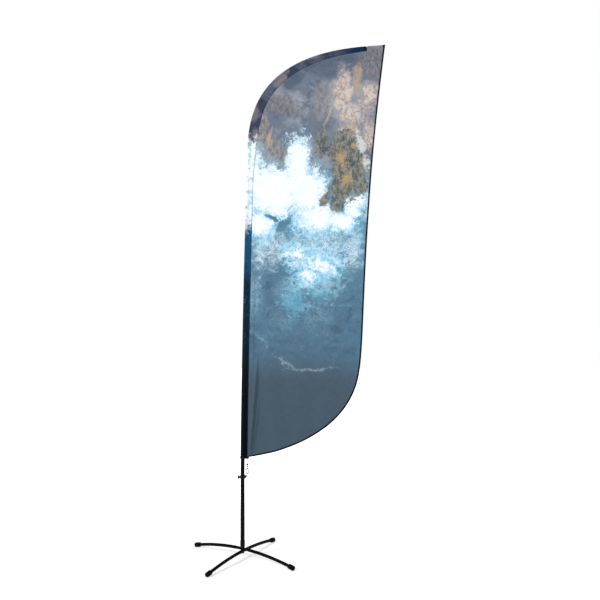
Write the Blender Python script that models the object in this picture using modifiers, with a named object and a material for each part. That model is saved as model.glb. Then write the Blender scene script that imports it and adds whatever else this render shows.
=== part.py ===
"""Feather flag on a pole, standing on a folding cross base.

Metres, +Z up. The floor is z = 0. The pole stands at x = MAST_X, y = 0, the flag flies
towards +X, and x = 0 is the middle of the whole object's length.
"""
from math import acos, atan, cos, hypot, pi, radians, sin

import bmesh
import bpy
from mathutils import Vector

NAME = "feather_flag_with_pole"

# ---------------------------------------------------------------- driving dimensions (metres)
GAP = 0.0003                      # play between two pieces that touch

# Cross base: two arched tubes that cross under the pole.
ARM_REACH = 0.372                 # pole axis to the middle of a foot cap, in plan
ARM_UPPER_YAW = radians(-37.0)    # heading of the upper arm, from +X
ARM_SPREAD = radians(100.0)       # angle from the upper arm to the lower arm, unfolded
ARM_TUBE_R = 0.0095
ARM_WALL = 0.0015
ARM_FLAT_HALF_WIDTH = 0.0119      # the tubes are pressed flat where they cross
ARM_FLAT_HALF_HEIGHT = 0.00625
ARM_FLAT_FROM = 0.028             # end of the flat, from the pole axis
ARM_ROUND_FROM = 0.062            # start of the round tube, from the pole axis
ARM_LOWER_Z = 0.0440              # centre of the lower arm at the crossing
ARM_FIRST_RING = 0.016            # places along an arm where its shape is set
ARM_FLARE_SHARES = (0.35, 0.68)
ARM_OUTER_RINGS = (0.115, 0.180, 0.245, 0.300)
ARM_STRAIGHT_PAST_CAP = 0.004     # straight tube beyond the cap's bore
CAP_R = 0.0145
CAP_LENGTH = 0.038
CAP_BORE_DEPTH = 0.030
CAP_EDGE = 0.0015                 # rounding of the cap's outer rim
CAP_PAD_DEPTH = 0.0020            # how far the floor pad cuts into the cap

# Hub: a spindle through both arms, held by a nut below.
STUD_R = 0.0050
SPACER_R = 0.0110
SPACER_T = 0.0015
CLAMP_WASHER_R = 0.0110
CLAMP_WASHER_T = 0.0012
NUT_ACROSS_CORNERS = 0.0190
NUT_HEIGHT = 0.0040
STUD_BELOW_NUT = 0.0008
SPINDLE_CHAMFER = 0.0010
SHOULDER_R = 0.0125
SHOULDER_T = 0.0035
SPINDLE_R = 0.0060
THRUST_R = 0.0120
THRUST_T = 0.0015
BUSH_WALL = 0.0014
BUSH_FLANGE_R = 0.0097
BUSH_FLANGE_T = 0.0015
BUSH_LENGTH = 0.014
ROTOR_LENGTH = 0.175
ROTOR_FLANGE_LIP = 0.0013         # how far the flange stands out past the pole
ROTOR_FLANGE_T = 0.0040
CLIP_R = 0.0090
CLIP_T = 0.0010
CLIP_GROOVE_DEPTH = 0.0008
CLIP_MOUTH = 0.0060
SPINDLE_ABOVE_CLIP = 0.0030

# Pole: four plug-in sections along one bowed line.
POLE_STRAIGHT_TOP = 0.53          # height up to which the pole is plumb
POLE_LEAN = 0.012                 # slope of the bow where it leaves the plumb stretch
POLE_KNEE_X = 0.0385              # how far the bow has moved where the bend begins
POLE_KNEE_SLOPE = 0.0346
BOTTOM_R = 0.0122
BOTTOM_WALL = 0.0016
MIDDLE_WALL = 0.0014
UPPER_WALL = 0.0024
TAPER_MIDDLE = 0.0012             # loss of radius from a section's foot to its top
TAPER_UPPER = 0.0012
TIP_END_R = 0.0026
BOTTOM_TOP_Z = 0.80               # heights of the two lower pole joints
MIDDLE_TOP_Z = 1.62
UPPER_TOP_BELOW_KNEE = 0.10       # the third joint lies just below the bend
PLUG_LENGTH = 0.080               # how far each section enters the one below
FERRULE_HEIGHT = 0.014
FOOT_RING_WALL = 0.0015
FOOT_RING_HEIGHT = 0.030
TIP_CAP_LENGTH = 0.012
TIP_CAP_WALL = 0.0008
TIP_CAP_EASE = 0.0001             # extra play in the cap's bore
TIP_CAP_EDGE = 0.0008
BEND_RUN_IN = 0.25                # stations get closer this far before the bend
LONG_STEP = 0.200                 # distance between stations where the line is nearly straight
TIP_STEP = 0.042
SLEEVE_STEP = 0.036

# Flag: a sewn sleeve round the pole and a flat panel with a hem tape.
FLAG_FOOT_Z = 0.6125
FLAG_HEIGHT = 2.4865
FLAG_REACH = 0.861                # pole axis to the top corner
CLOTH = 0.0010
SLEEVE_WALL = 0.0008
SLEEVE_EASE = 0.0015              # from the pole's surface to the outside of the sleeve
SLEEVE_END_R = 0.0056
SLEEVE_FOOT_LIFT = 0.0040         # the sleeve starts this far above the flag's foot
SLEEVE_WIDTH = 0.0425             # luff to seam along the straight stretch
SLEEVE_WIDE = 0.060               # widest, where the bend starts
SLEEVE_WIDE_ABOVE_KNEE = 0.060
SLEEVE_WIDEN_LENGTH = 0.260
SLEEVE_MID_WIDTH = 0.049
SLEEVE_END_WIDTH = 0.030
SLEEVE_END_BEFORE_CORNER = 0.125
SEAM_HALF = 0.0012                # half thickness of the sleeve at its seam
POCKET_LENGTH = 0.012
CUFF_BELOW_FLAG = 0.0095
CUFF_EASE = 0.0033                # from the pole's surface to the outside of the cuff
CUFF_EXTRA_WIDTH = 0.0105
CUFF_CLEAR = 0.0006
CUFF_SEAM = 0.0050                # solid stitching along the cuff's edge
POCKET_TAPER = 0.4                # share of the sleeve's end radius lost along the pocket
HEM_WIDTH = 0.0085
HEM_T = 0.0018
HEM_START_STEP = 0.0040           # shortest edge left at either end of the hem
HEM_START_SLOPE = 0.02
SEAM_START_LIFT = 0.0020
# Outline curves, as shares of the flag's reach and height.
FLY_SHAPE = ((1.0, 1.0), (0.830, 0.548), (0.869, 0.291), (0.813, 0.195))
FOOT_SHAPE = ((0.813, 0.195), (0.722, 0.037), (0.150, 0.0026), (0.035, 0.0))
KNEE_SHARE = 0.759                # height share where the bend begins
BEND_HANDLE_LOW = 0.221           # height share of the bend's first handle
BEND_HANDLE_HIGH = (0.714, 0.992)
BEND_END = (0.9993, 0.9974)
SLEEVE_MID_SHARE = 0.29           # reach share where the bend's sleeve width is set

# Tension collar, hook and cord.
COLLAR_Z = 0.4815
COLLAR_HEIGHT = 0.022
COLLAR_WALL = 0.0018
LUG_T = 0.0045
LUG_LENGTH = 0.0178               # from the pole's surface to the lug's tip
LUG_EYE_OUT = 0.0116
LUG_EYE_UP = 0.0135
LUG_EYE_R = 0.0026
LUG_TOP_DROP = 0.0022             # lug's upper edge, below the collar's rim
LUG_BEVEL = 0.0030
LUG_FOOT_UP = 0.0010
KNOB_UP = 0.0090                  # screw axis above the collar's foot
KNOB_R = 0.0112
KNOB_T = 0.0115
KNOB_BOSS_R = 0.0058
KNOB_BOSS_LENGTH = 0.0046
KNOB_GROOVE = 0.93                # radius share at the grooves of the grip
SHANK_R = 0.0025
SHANK_IN_KNOB = 0.0070
SCREW_HOLE_LENGTH = 0.016
RING_WIRE_R = 0.0012
HOOK_OUT = 0.0168                 # from the pole's surface to the hook's shank
HOOK_UP = 0.0298                  # bottom wire of the hook above the collar's foot
HOOK_WIRE_R = 0.0020
HOOK_HEIGHT = 0.0342              # bottom wire to the top of the shank
HOOK_TIP_OUT = -0.0070            # hook's tip, from the shank and from the bottom wire
HOOK_TIP_UP = 0.0087
HOOK_BACK = (                     # wire between the shank's top and the bottom, down the back
    (0.0006, 0.0312), (0.0042, 0.0275), (0.0074, 0.0222), (0.0084, 0.0152),
    (0.0078, 0.0082), (0.0048, 0.0024),
)
HOOK_FRONT = ((-0.0045, 0.0013), (-0.0068, 0.0049))
HOOK_EYE_R = 0.0043
HOOK_EYE_WIRE_R = 0.0015
HOOK_EYE_SINK = 0.0003            # how far the eye sinks into the shank's end
GATE_PIVOT_OUT = -0.0038          # gate pin, from the shank and from the bottom wire
GATE_PIVOT_UP = 0.0285
GATE_T = 0.0026
GATE_HUB_R = 0.0021
GATE_HUB_DROP = 0.0010            # where the lever leaves its hub
GATE_FOOT_HALF = 0.0012
GATE_FOOT_OUT = 0.0002
GATE_FOOT_GAP = 0.0006            # between the lever's foot and the hook's tip
PIN_R = 0.0009
CHEEK_HALF_WIDTH = 0.0032
CHEEK_PAST_PIN = 0.0028
CHEEK_PAST_SHANK = 0.0024
CHEEK_HEIGHT = 0.0050
CHEEK_UP = 0.0004
SLOT_PAST_PIN = 0.0060
SLOT_BITE = 0.0015                # how far the gate's slot cuts into the shank
SLOT_HEIGHT = 0.0085
SLOT_DROP = 0.0015
CORD_R = 0.0015
CRIMP_ABOVE_EYE = 0.0125
CRIMP_HEIGHT = 0.0080
CRIMP_WALL = 0.0012

ROUND = 20                        # sides of a turned piece
TUBE_SIDES = 16
FINE_SIDES = 12                   # sides of a thin round piece
ARC_STEPS = 8                     # steps round a half circle
THROUGH = 0.020                   # length of a tool that cuts right through a piece

# ---------------------------------------------------------------- sizes that follow
ARM_UPPER_Z = ARM_LOWER_Z + 2 * ARM_FLAT_HALF_HEIGHT + SPACER_T + 2 * GAP
HUB_TOP_Z = ARM_UPPER_Z + ARM_FLAT_HALF_HEIGHT
THRUST_Z = HUB_TOP_Z + GAP + SHOULDER_T + GAP
BUSH_Z = THRUST_Z + THRUST_T + GAP
ROTOR_Z = BUSH_Z + BUSH_FLANGE_T + GAP
ROTOR_TOP_Z = ROTOR_Z + ROTOR_LENGTH
TOP_BUSH_Z = ROTOR_TOP_Z + GAP
CLIP_Z = TOP_BUSH_Z + BUSH_FLANGE_T + GAP
SPINDLE_TOP_Z = CLIP_Z + CLIP_T + SPINDLE_ABOVE_CLIP
BUSH_BORE_R = SPINDLE_R + GAP
BUSH_R = BUSH_BORE_R + BUSH_WALL
MAST_FOOT_Z = ROTOR_Z + ROTOR_FLANGE_T + GAP
TUBE_FLAT = cos(pi / TUBE_SIDES)  # a flat's distance from the axis, for a unit corner radius
ROTOR_R = BOTTOM_R * TUBE_FLAT - BOTTOM_WALL - GAP
MIDDLE_R = BOTTOM_R * TUBE_FLAT - BOTTOM_WALL - GAP
MIDDLE_TOP_R = MIDDLE_R - TAPER_MIDDLE
UPPER_R = MIDDLE_TOP_R * TUBE_FLAT - MIDDLE_WALL - GAP
UPPER_TOP_R = UPPER_R - TAPER_UPPER
TIP_R = UPPER_TOP_R * TUBE_FLAT - UPPER_WALL - GAP

KNEE_Z = FLAG_FOOT_Z + KNEE_SHARE * FLAG_HEIGHT
SLEEVE_FOOT_Z = FLAG_FOOT_Z + SLEEVE_FOOT_LIFT
SLEEVE_END_X = FLAG_REACH - SLEEVE_END_BEFORE_CORNER
CUFF_FOOT_Z = FLAG_FOOT_Z - CUFF_BELOW_FLAG
CUFF_R = BOTTOM_R + CUFF_EASE
CUFF_WIDTH = SLEEVE_WIDTH + CUFF_EXTRA_WIDTH
ROTOR_FLANGE_R = BOTTOM_R + ROTOR_FLANGE_LIP
FOOT_RING_R = BOTTOM_R + GAP + FOOT_RING_WALL
LUG_TIP_X = BOTTOM_R + LUG_LENGTH
LUG_EYE = (BOTTOM_R + LUG_EYE_OUT, COLLAR_Z + LUG_EYE_UP)
KNOB_Z = COLLAR_Z + KNOB_UP
KNOB_BOSS_REACH = BOTTOM_R + KNOB_BOSS_LENGTH
HOOK_X = BOTTOM_R + HOOK_OUT
HOOK_Z = COLLAR_Z + HOOK_UP
HOOK_TOP_Z = HOOK_Z + HOOK_HEIGHT
HOOK_EYE_Z = HOOK_TOP_Z + HOOK_EYE_R - HOOK_EYE_SINK
HOOK_TIP_Z = HOOK_Z + HOOK_TIP_UP
GATE_PIVOT = (HOOK_X + GATE_PIVOT_OUT, HOOK_Z + GATE_PIVOT_UP)
CRIMP_Z = HOOK_EYE_Z + CRIMP_ABOVE_EYE

CAP_END_WALL = CAP_LENGTH - CAP_BORE_DEPTH
CAP_BORE_R = (ARM_TUBE_R + GAP) / cos(pi / ROUND)
TUBE_END_STRAIGHT = CAP_BORE_DEPTH + ARM_STRAIGHT_PAST_CAP
TUBE_END = ARM_REACH + CAP_BORE_DEPTH - GAP - CAP_LENGTH / 2
CORD_SPREAD = HOOK_EYE_WIRE_R + GAP + CORD_R
FAR_FOOT_X = (TUBE_END + CAP_END_WALL) * cos(ARM_UPPER_YAW) + CAP_R * sin(-ARM_UPPER_YAW)
MAST_X = (FAR_FOOT_X - FLAG_REACH) / 2


# ---------------------------------------------------------------- scene and materials
def clear_scene():
    """Remove every object, so that only the flag is left at the end."""
    for item in list(bpy.data.objects):
        bpy.data.objects.remove(item, do_unlink=True)


def new_collection(name):
    """A collection linked to the scene."""
    group = bpy.data.collections.new(name)
    bpy.context.scene.collection.children.link(group)
    return group


clear_scene()
PARTS = new_collection(NAME)
CUTTERS = new_collection("cutters")


def material(name, colour, roughness, metallic=0.0):
    """A Principled material of one colour."""
    mat = bpy.data.materials.new(name)
    mat.use_nodes = True
    shader = mat.node_tree.nodes["Principled BSDF"]
    shader.inputs["Base Color"].default_value = (*colour, 1.0)
    shader.inputs["Roughness"].default_value = roughness
    shader.inputs["Metallic"].default_value = metallic
    return mat


BLACK_PAINT = material("black_powder_coat", (0.012, 0.012, 0.014), 0.45)
BLACK_RUBBER = material("black_rubber", (0.02, 0.02, 0.02), 0.85)
BLACK_PLASTIC = material("black_plastic", (0.018, 0.018, 0.02), 0.50)
WHITE_NYLON = material("white_nylon", (0.75, 0.75, 0.72), 0.45)
ZINC_STEEL = material("zinc_steel", (0.62, 0.63, 0.65), 0.35, 1.0)
POLE_ALLOY = material("black_anodised_alloy", (0.015, 0.015, 0.018), 0.35, 0.4)
FIBREGLASS = material("black_fibreglass", (0.02, 0.02, 0.022), 0.40)
PRINTED_CLOTH = material("printed_cloth", (0.28, 0.34, 0.42), 0.85)
DARK_CLOTH = material("dark_cloth", (0.015, 0.02, 0.035), 0.90)
BLACK_CORD = material("black_cord", (0.015, 0.015, 0.015), 0.90)


# ---------------------------------------------------------------- building helpers
def empty(name, location, parent=None, yaw=0.0):
    """A joint frame: an empty that pieces are parented to."""
    frame = bpy.data.objects.new(name, None)
    frame.location = location
    frame.rotation_euler = (0.0, 0.0, yaw)
    frame.parent = parent
    PARTS.objects.link(frame)
    return frame


def place(item, parent, location=(0.0, 0.0, 0.0), rotation=(0.0, 0.0, 0.0)):
    """Parent an object and set its place in its parent's frame."""
    item.parent = parent
    item.location = location
    item.rotation_euler = rotation
    return item


def hang_flat(item, parent):
    """Parent a flat piece drawn in the pole's frame and keep it upright."""
    return place(item, parent, rotation=item.rotation_euler[:])


def mesh_object(name, mesh, mat, group=None):
    """Link a mesh as a named object with one material."""
    item = bpy.data.objects.new(name, mesh)
    mesh.materials.append(mat)
    (group or PARTS).objects.link(item)
    return item


def shade(item, angle=35.0):
    """Smooth shading with sharp edges kept."""
    item.data.shade_smooth()
    item.data.set_sharp_from_angle(angle=radians(angle))
    return item


def turned(name, profile, mat, steps=ROUND, ring=False):
    """Turn a profile of (radius, height) points round Z with a Screw modifier."""
    count = len(profile)
    edges = [(k, k + 1) for k in range(count - 1)]
    if ring:
        edges.append((count - 1, 0))
    mesh = bpy.data.meshes.new(name)
    mesh.from_pydata([(r, 0.0, z) for r, z in profile], edges, [])
    item = mesh_object(name, mesh, mat)
    screw = item.modifiers.new("turn", "SCREW")
    screw.axis = "Z"
    screw.angle = 2 * pi
    screw.steps = steps
    screw.render_steps = steps
    screw.use_merge_vertices = True
    screw.merge_threshold = 0.00001
    screw.use_smooth_shade = True
    return item


def sleeve_profile(outer, inner, low, high):
    """Profile of a plain ring, running down its outer side."""
    return [(inner, high), (outer, high), (outer, low), (inner, low)]


def as_mesh(curve_item, mat):
    """Replace a curve object by its evaluated mesh, with the caps welded."""
    bpy.context.view_layer.update()
    graph = bpy.context.evaluated_depsgraph_get()
    mesh = bpy.data.meshes.new_from_object(curve_item.evaluated_get(graph))
    welded = bmesh.new()
    welded.from_mesh(mesh)
    bmesh.ops.remove_doubles(welded, verts=welded.verts, dist=0.000005)
    bmesh.ops.recalc_face_normals(welded, faces=welded.faces)
    welded.to_mesh(mesh)
    welded.free()
    mesh.materials.clear()
    name = curve_item.name
    group = curve_item.users_collection[0]
    matrix = curve_item.matrix_world.copy()
    bpy.data.objects.remove(curve_item, do_unlink=True)
    item = mesh_object(name, mesh, mat, group)
    item.matrix_world = matrix
    return item


def bar(name, points, radii, mat, sides=TUBE_SIDES, wall=None, group=None):
    """A round bar along points; with a wall it is a tube open at both ends."""
    curve = bpy.data.curves.new(name, "CURVE")
    curve.dimensions = "3D"
    curve.bevel_depth = 1.0
    curve.bevel_resolution = (sides - 4) // 2
    curve.use_fill_caps = wall is None
    spline = curve.splines.new("POLY")
    spline.points.add(len(points) - 1)
    for point, place_at, radius in zip(spline.points, points, radii):
        point.co = (*place_at, 1.0)
        point.radius = radius
    item = bpy.data.objects.new(name, curve)
    (group or PARTS).objects.link(item)
    if wall is not None:
        shell = item.modifiers.new("wall", "SOLIDIFY")
        shell.thickness = wall
        shell.offset = -1.0
        shell.use_even_offset = True
    return as_mesh(item, mat)


def flat(name, outlines, thickness, mat, group=None):
    """A flat piece in the XZ plane: outlines of (x, z) points, holes after the outer one."""
    curve = bpy.data.curves.new(name, "CURVE")
    curve.dimensions = "2D"
    curve.fill_mode = "BOTH"
    curve.extrude = thickness / 2
    for outline in outlines:
        spline = curve.splines.new("POLY")
        spline.points.add(len(outline) - 1)
        spline.use_cyclic_u = True
        for point, (x, z) in zip(spline.points, outline):
            point.co = (x, z, 0.0, 1.0)
    item = bpy.data.objects.new(name, curve)
    (group or PARTS).objects.link(item)
    item.rotation_euler = (pi / 2, 0.0, 0.0)
    return as_mesh(item, mat)


def loft(name, outer, inner, mat):
    """A shell between matching rings of points, open at both ends; solid without inner."""
    shape = bmesh.new()
    sides = [side for side in (outer, inner) if side]
    skins = [[[shape.verts.new(p) for p in ring] for ring in side] for side in sides]
    count = len(outer[0])
    for skin in skins:
        for ring, after in zip(skin, skin[1:]):
            for k in range(count):
                n = (k + 1) % count
                shape.faces.new((ring[k], ring[n], after[n], after[k]))
    for end in (0, -1):
        if inner:
            rim, lip = skins[0][end], skins[1][end]
            for k in range(count):
                n = (k + 1) % count
                shape.faces.new((rim[k], rim[n], lip[n], lip[k]))
        else:
            shape.faces.new(skins[0][end])
    bmesh.ops.recalc_face_normals(shape, faces=shape.faces)
    mesh = bpy.data.meshes.new(name)
    shape.to_mesh(mesh)
    shape.free()
    return shade(mesh_object(name, mesh, mat))


def boolean(item, other, operation):
    """Cut or join with another object, which becomes a guide."""
    step = item.modifiers.new(operation.lower(), "BOOLEAN")
    step.operation = operation
    step.solver = "EXACT"
    step.object = other
    other.hide_render = True
    other.display_type = "WIRE"
    return item


def cylinder_tool(name, radius, length, centre, parent, rotation=(0.0, 0.0, 0.0), sides=ROUND):
    """A cylinder along its own Z, for cutting or joining."""
    shape = bmesh.new()
    bmesh.ops.create_cone(
        shape, cap_ends=True, segments=sides, radius1=radius, radius2=radius, depth=length
    )
    mesh = bpy.data.meshes.new(name)
    shape.to_mesh(mesh)
    shape.free()
    return place(mesh_object(name, mesh, ZINC_STEEL, CUTTERS), parent, centre, rotation)


def box_tool(name, size, centre, parent):
    """A box for cutting or joining."""
    shape = bmesh.new()
    bmesh.ops.create_cube(shape, size=1.0)
    bmesh.ops.scale(shape, vec=size, verts=shape.verts)
    mesh = bpy.data.meshes.new(name)
    shape.to_mesh(mesh)
    shape.free()
    return place(mesh_object(name, mesh, ZINC_STEEL, CUTTERS), parent, centre)


def bezier(p0, p1, p2, p3, count):
    """Points along one cubic curve, its start included and its end left out."""
    points = []
    for k in range(count):
        t = k / count
        u = 1 - t
        pairs = ((u ** 3, p0), (3 * u * u * t, p1), (3 * u * t * t, p2), (t ** 3, p3))
        points.append((sum(w * p[0] for w, p in pairs), sum(w * p[1] for w, p in pairs)))
    return points


def on_flag(shape):
    """Turn shares of the flag's reach and height into places."""
    return [(u * FLAG_REACH, FLAG_FOOT_Z + v * FLAG_HEIGHT) for u, v in shape]


def smooth_step(t):
    """Ease from 0 to 1."""
    t = min(max(t, 0.0), 1.0)
    return t * t * (3 - 2 * t)


def interpolate(value, knots):
    """Straight-line reading of (place, value) knots."""
    for (a, low), (b, high) in zip(knots, knots[1:]):
        if value <= b:
            return low + (high - low) * max(value - a, 0.0) / (b - a)
    return knots[-1][1]


# ---------------------------------------------------------------- the pole's line
class Line:
    """A dense line in the XZ plane that is read by its length from the pole's foot."""

    def __init__(self, points):
        self.points = points
        self.lengths = [0.0]
        for (x0, z0), (x1, z1) in zip(points, points[1:]):
            self.lengths.append(self.lengths[-1] + hypot(x1 - x0, z1 - z0))
        self.total = self.lengths[-1]

    def at(self, s):
        """Point, and unit normal towards the flag, at a length along the line."""
        k = 0
        while k < len(self.lengths) - 2 and self.lengths[k + 1] < s:
            k += 1
        (x0, z0), (x1, z1) = self.points[k], self.points[k + 1]
        step = self.lengths[k + 1] - self.lengths[k]
        t = (s - self.lengths[k]) / step
        return (x0 + (x1 - x0) * t, z0 + (z1 - z0) * t), ((z1 - z0) / step, -(x1 - x0) / step)

    def at_height(self, z):
        """Length at which the line first reaches a height."""
        for k, point in enumerate(self.points):
            if point[1] >= z:
                before = self.points[k - 1]
                share = (z - before[1]) / (point[1] - before[1])
                return self.lengths[k - 1] + share * (self.lengths[k] - self.lengths[k - 1])
        return self.total

    def at_reach(self, x):
        """Length at which the line first reaches a distance from the pole's foot."""
        for k, point in enumerate(self.points):
            if point[0] >= x:
                return self.lengths[k]
        return self.total


def pole_line():
    """The bowed line from the pole's foot to the flag's top corner."""
    knee = (POLE_KNEE_X, KNEE_Z)
    third = (KNEE_Z - POLE_STRAIGHT_TOP) / 3
    straight_end = (0.0, POLE_STRAIGHT_TOP)
    bow_low = (POLE_LEAN * third, POLE_STRAIGHT_TOP + third)
    bow_high = (POLE_KNEE_X - POLE_KNEE_SLOPE * third, KNEE_Z - third)
    handle = BEND_HANDLE_LOW * FLAG_HEIGHT
    bend_low = (POLE_KNEE_X + POLE_KNEE_SLOPE * handle, KNEE_Z + handle)
    bend_high, corner = on_flag((BEND_HANDLE_HIGH, BEND_END))
    points = [(0.0, MAST_FOOT_Z)]
    points += bezier(straight_end, bow_low, bow_high, knee, 60)
    points += bezier(knee, bend_low, bend_high, corner, 240)
    points.append(corner)
    return Line(points)


LINE = pole_line()
S_STRAIGHT = POLE_STRAIGHT_TOP - MAST_FOOT_Z
S_KNEE = LINE.at_height(KNEE_Z)
S_SLEEVE = LINE.at_height(SLEEVE_FOOT_Z)
S_SLEEVE_END = LINE.at_reach(SLEEVE_END_X)
S_MID = LINE.at_reach(SLEEVE_MID_SHARE * FLAG_REACH)
S_JOINTS = [LINE.at_height(z) for z in (BOTTOM_TOP_Z, MIDDLE_TOP_Z, KNEE_Z - UPPER_TOP_BELOW_KNEE)]
S_POLE_END = S_SLEEVE_END - TIP_CAP_LENGTH


def stations(start, end, fine):
    """Lengths along the line: few where it is straight, closer where it bends."""
    stops = [start]
    while end - stops[-1] > 0.0001:
        here = stops[-1]
        if here < S_STRAIGHT:
            step = S_STRAIGHT - here
        elif here < S_KNEE - BEND_RUN_IN:
            step = LONG_STEP
        else:
            step = fine
        remaining = end - here
        stops.append(end if remaining < 1.4 * step else here + step)
    return stops


def on_line(s, across=0.0, y=0.0):
    """A point in the pole's frame, offset across the line towards the flag."""
    (x, z), (nx, nz) = LINE.at(s)
    return (x + nx * across, y, z + nz * across)


# ---------------------------------------------------------------- joint frames
base_frame = empty("base_frame", (MAST_X, 0.0, 0.0))
lower_frame = empty("lower_arm_frame", (0.0, 0.0, 0.0), base_frame, ARM_UPPER_YAW + ARM_SPREAD)
fold_frame = empty("arm_fold_axis", (0.0, 0.0, 0.0), base_frame, ARM_UPPER_YAW)
spin_frame = empty("flag_spin_axis", (0.0, 0.0, 0.0), base_frame)
mast_frame = empty("mast_lift_axis", (0.0, 0.0, 0.0), spin_frame)
collar_frame = empty("collar_slide_axis", (0.0, 0.0, 0.0), mast_frame)
knob_frame = empty("knob_turn_axis", (0.0, 0.0, KNOB_Z), collar_frame)
gate_frame = empty("gate_axis", (GATE_PIVOT[0], 0.0, GATE_PIVOT[1]), collar_frame)


# ---------------------------------------------------------------- cross base
def arm_fall(centre_z):
    """Curvature that brings an arm from its height at the crossing down to its cap."""
    drop = centre_z - CAP_R + CAP_PAD_DEPTH
    return drop / (TUBE_END ** 2 + 2 * CAP_END_WALL * TUBE_END)


def arm_section(along, centre_z, inset):
    """One ring of the arm: round tube outside, pressed flat at the crossing."""
    fall = arm_fall(centre_z)
    slope = atan(2 * fall * along)
    height = centre_z - fall * along ** 2
    roundness = smooth_step((abs(along) - ARM_FLAT_FROM) / (ARM_ROUND_FROM - ARM_FLAT_FROM))
    half_width = ARM_FLAT_HALF_WIDTH + (ARM_TUBE_R - ARM_FLAT_HALF_WIDTH) * roundness - inset
    half_height = ARM_FLAT_HALF_HEIGHT + (ARM_TUBE_R - ARM_FLAT_HALF_HEIGHT) * roundness - inset
    power = 0.5 + 0.5 * roundness
    ring = []
    for k in range(TUBE_SIDES):
        angle = 2 * pi * (k + 0.5) / TUBE_SIDES
        c, s = cos(angle), sin(angle)
        side = half_width * abs(c) ** power * (1 if c > 0 else -1)
        rise = half_height * abs(s) ** power * (1 if s > 0 else -1)
        ring.append((along + rise * sin(slope), side, height + rise * cos(slope)))
    return ring


def arm_stations():
    """Places along an arm, mirrored about the pole axis."""
    flare = ARM_ROUND_FROM - ARM_FLAT_FROM
    half = [ARM_FIRST_RING, ARM_FLAT_FROM]
    half += [ARM_FLAT_FROM + flare * share for share in ARM_FLARE_SHARES]
    half += [ARM_ROUND_FROM, *ARM_OUTER_RINGS, TUBE_END - TUBE_END_STRAIGHT, TUBE_END]
    return [-r for r in reversed(half)] + half


def make_arm(name, centre_z, frame):
    """An arched tube with the stud's hole through its flat."""
    places = arm_stations()
    outer = [arm_section(r, centre_z, 0.0) for r in places]
    inner = [arm_section(r, centre_z, ARM_WALL) for r in places]
    arm = place(loft(name, outer, inner, BLACK_PAINT), frame)
    hole = cylinder_tool(name + "_hole", STUD_R + GAP, THROUGH, (0.0, 0.0, centre_z), frame)
    return boolean(arm, hole, "DIFFERENCE")


def make_cap(name, centre_z, frame, side):
    """A rubber end cap over the tube, cut flat where it stands on the floor."""
    top = CAP_LENGTH
    profile = [
        (0.0, top), (CAP_R - CAP_EDGE, top), (CAP_R, top - CAP_EDGE), (CAP_R, 0.0),
        (CAP_BORE_R, 0.0), (CAP_BORE_R, CAP_BORE_DEPTH), (0.0, CAP_BORE_DEPTH),
    ]
    fall = arm_fall(centre_z)
    slope = atan(fall * (2 * TUBE_END - TUBE_END_STRAIGHT))
    mouth = CAP_BORE_DEPTH - GAP
    along = side * (TUBE_END - mouth * cos(slope))
    height = centre_z - fall * TUBE_END ** 2 + mouth * sin(slope)
    cap = turned(name, profile, BLACK_RUBBER)
    place(cap, frame, (along, 0.0, height), (0.0, side * (pi / 2 + slope), 0.0))
    return boolean(cap, FLOOR_TOOL, "DIFFERENCE")


FLOOR_TOOL = box_tool("floor_plane", (3 * ARM_REACH, 3 * ARM_REACH, 0.1), (0.0, 0.0, -0.05), base_frame)
make_arm("lower_arm", ARM_LOWER_Z, lower_frame)
make_arm("upper_arm", ARM_UPPER_Z, fold_frame)
make_cap("foot_cap_back_right", ARM_LOWER_Z, lower_frame, 1)
make_cap("foot_cap_front_left", ARM_LOWER_Z, lower_frame, -1)
make_cap("foot_cap_front_right", ARM_UPPER_Z, fold_frame, 1)
make_cap("foot_cap_back_left", ARM_UPPER_Z, fold_frame, -1)


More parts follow.
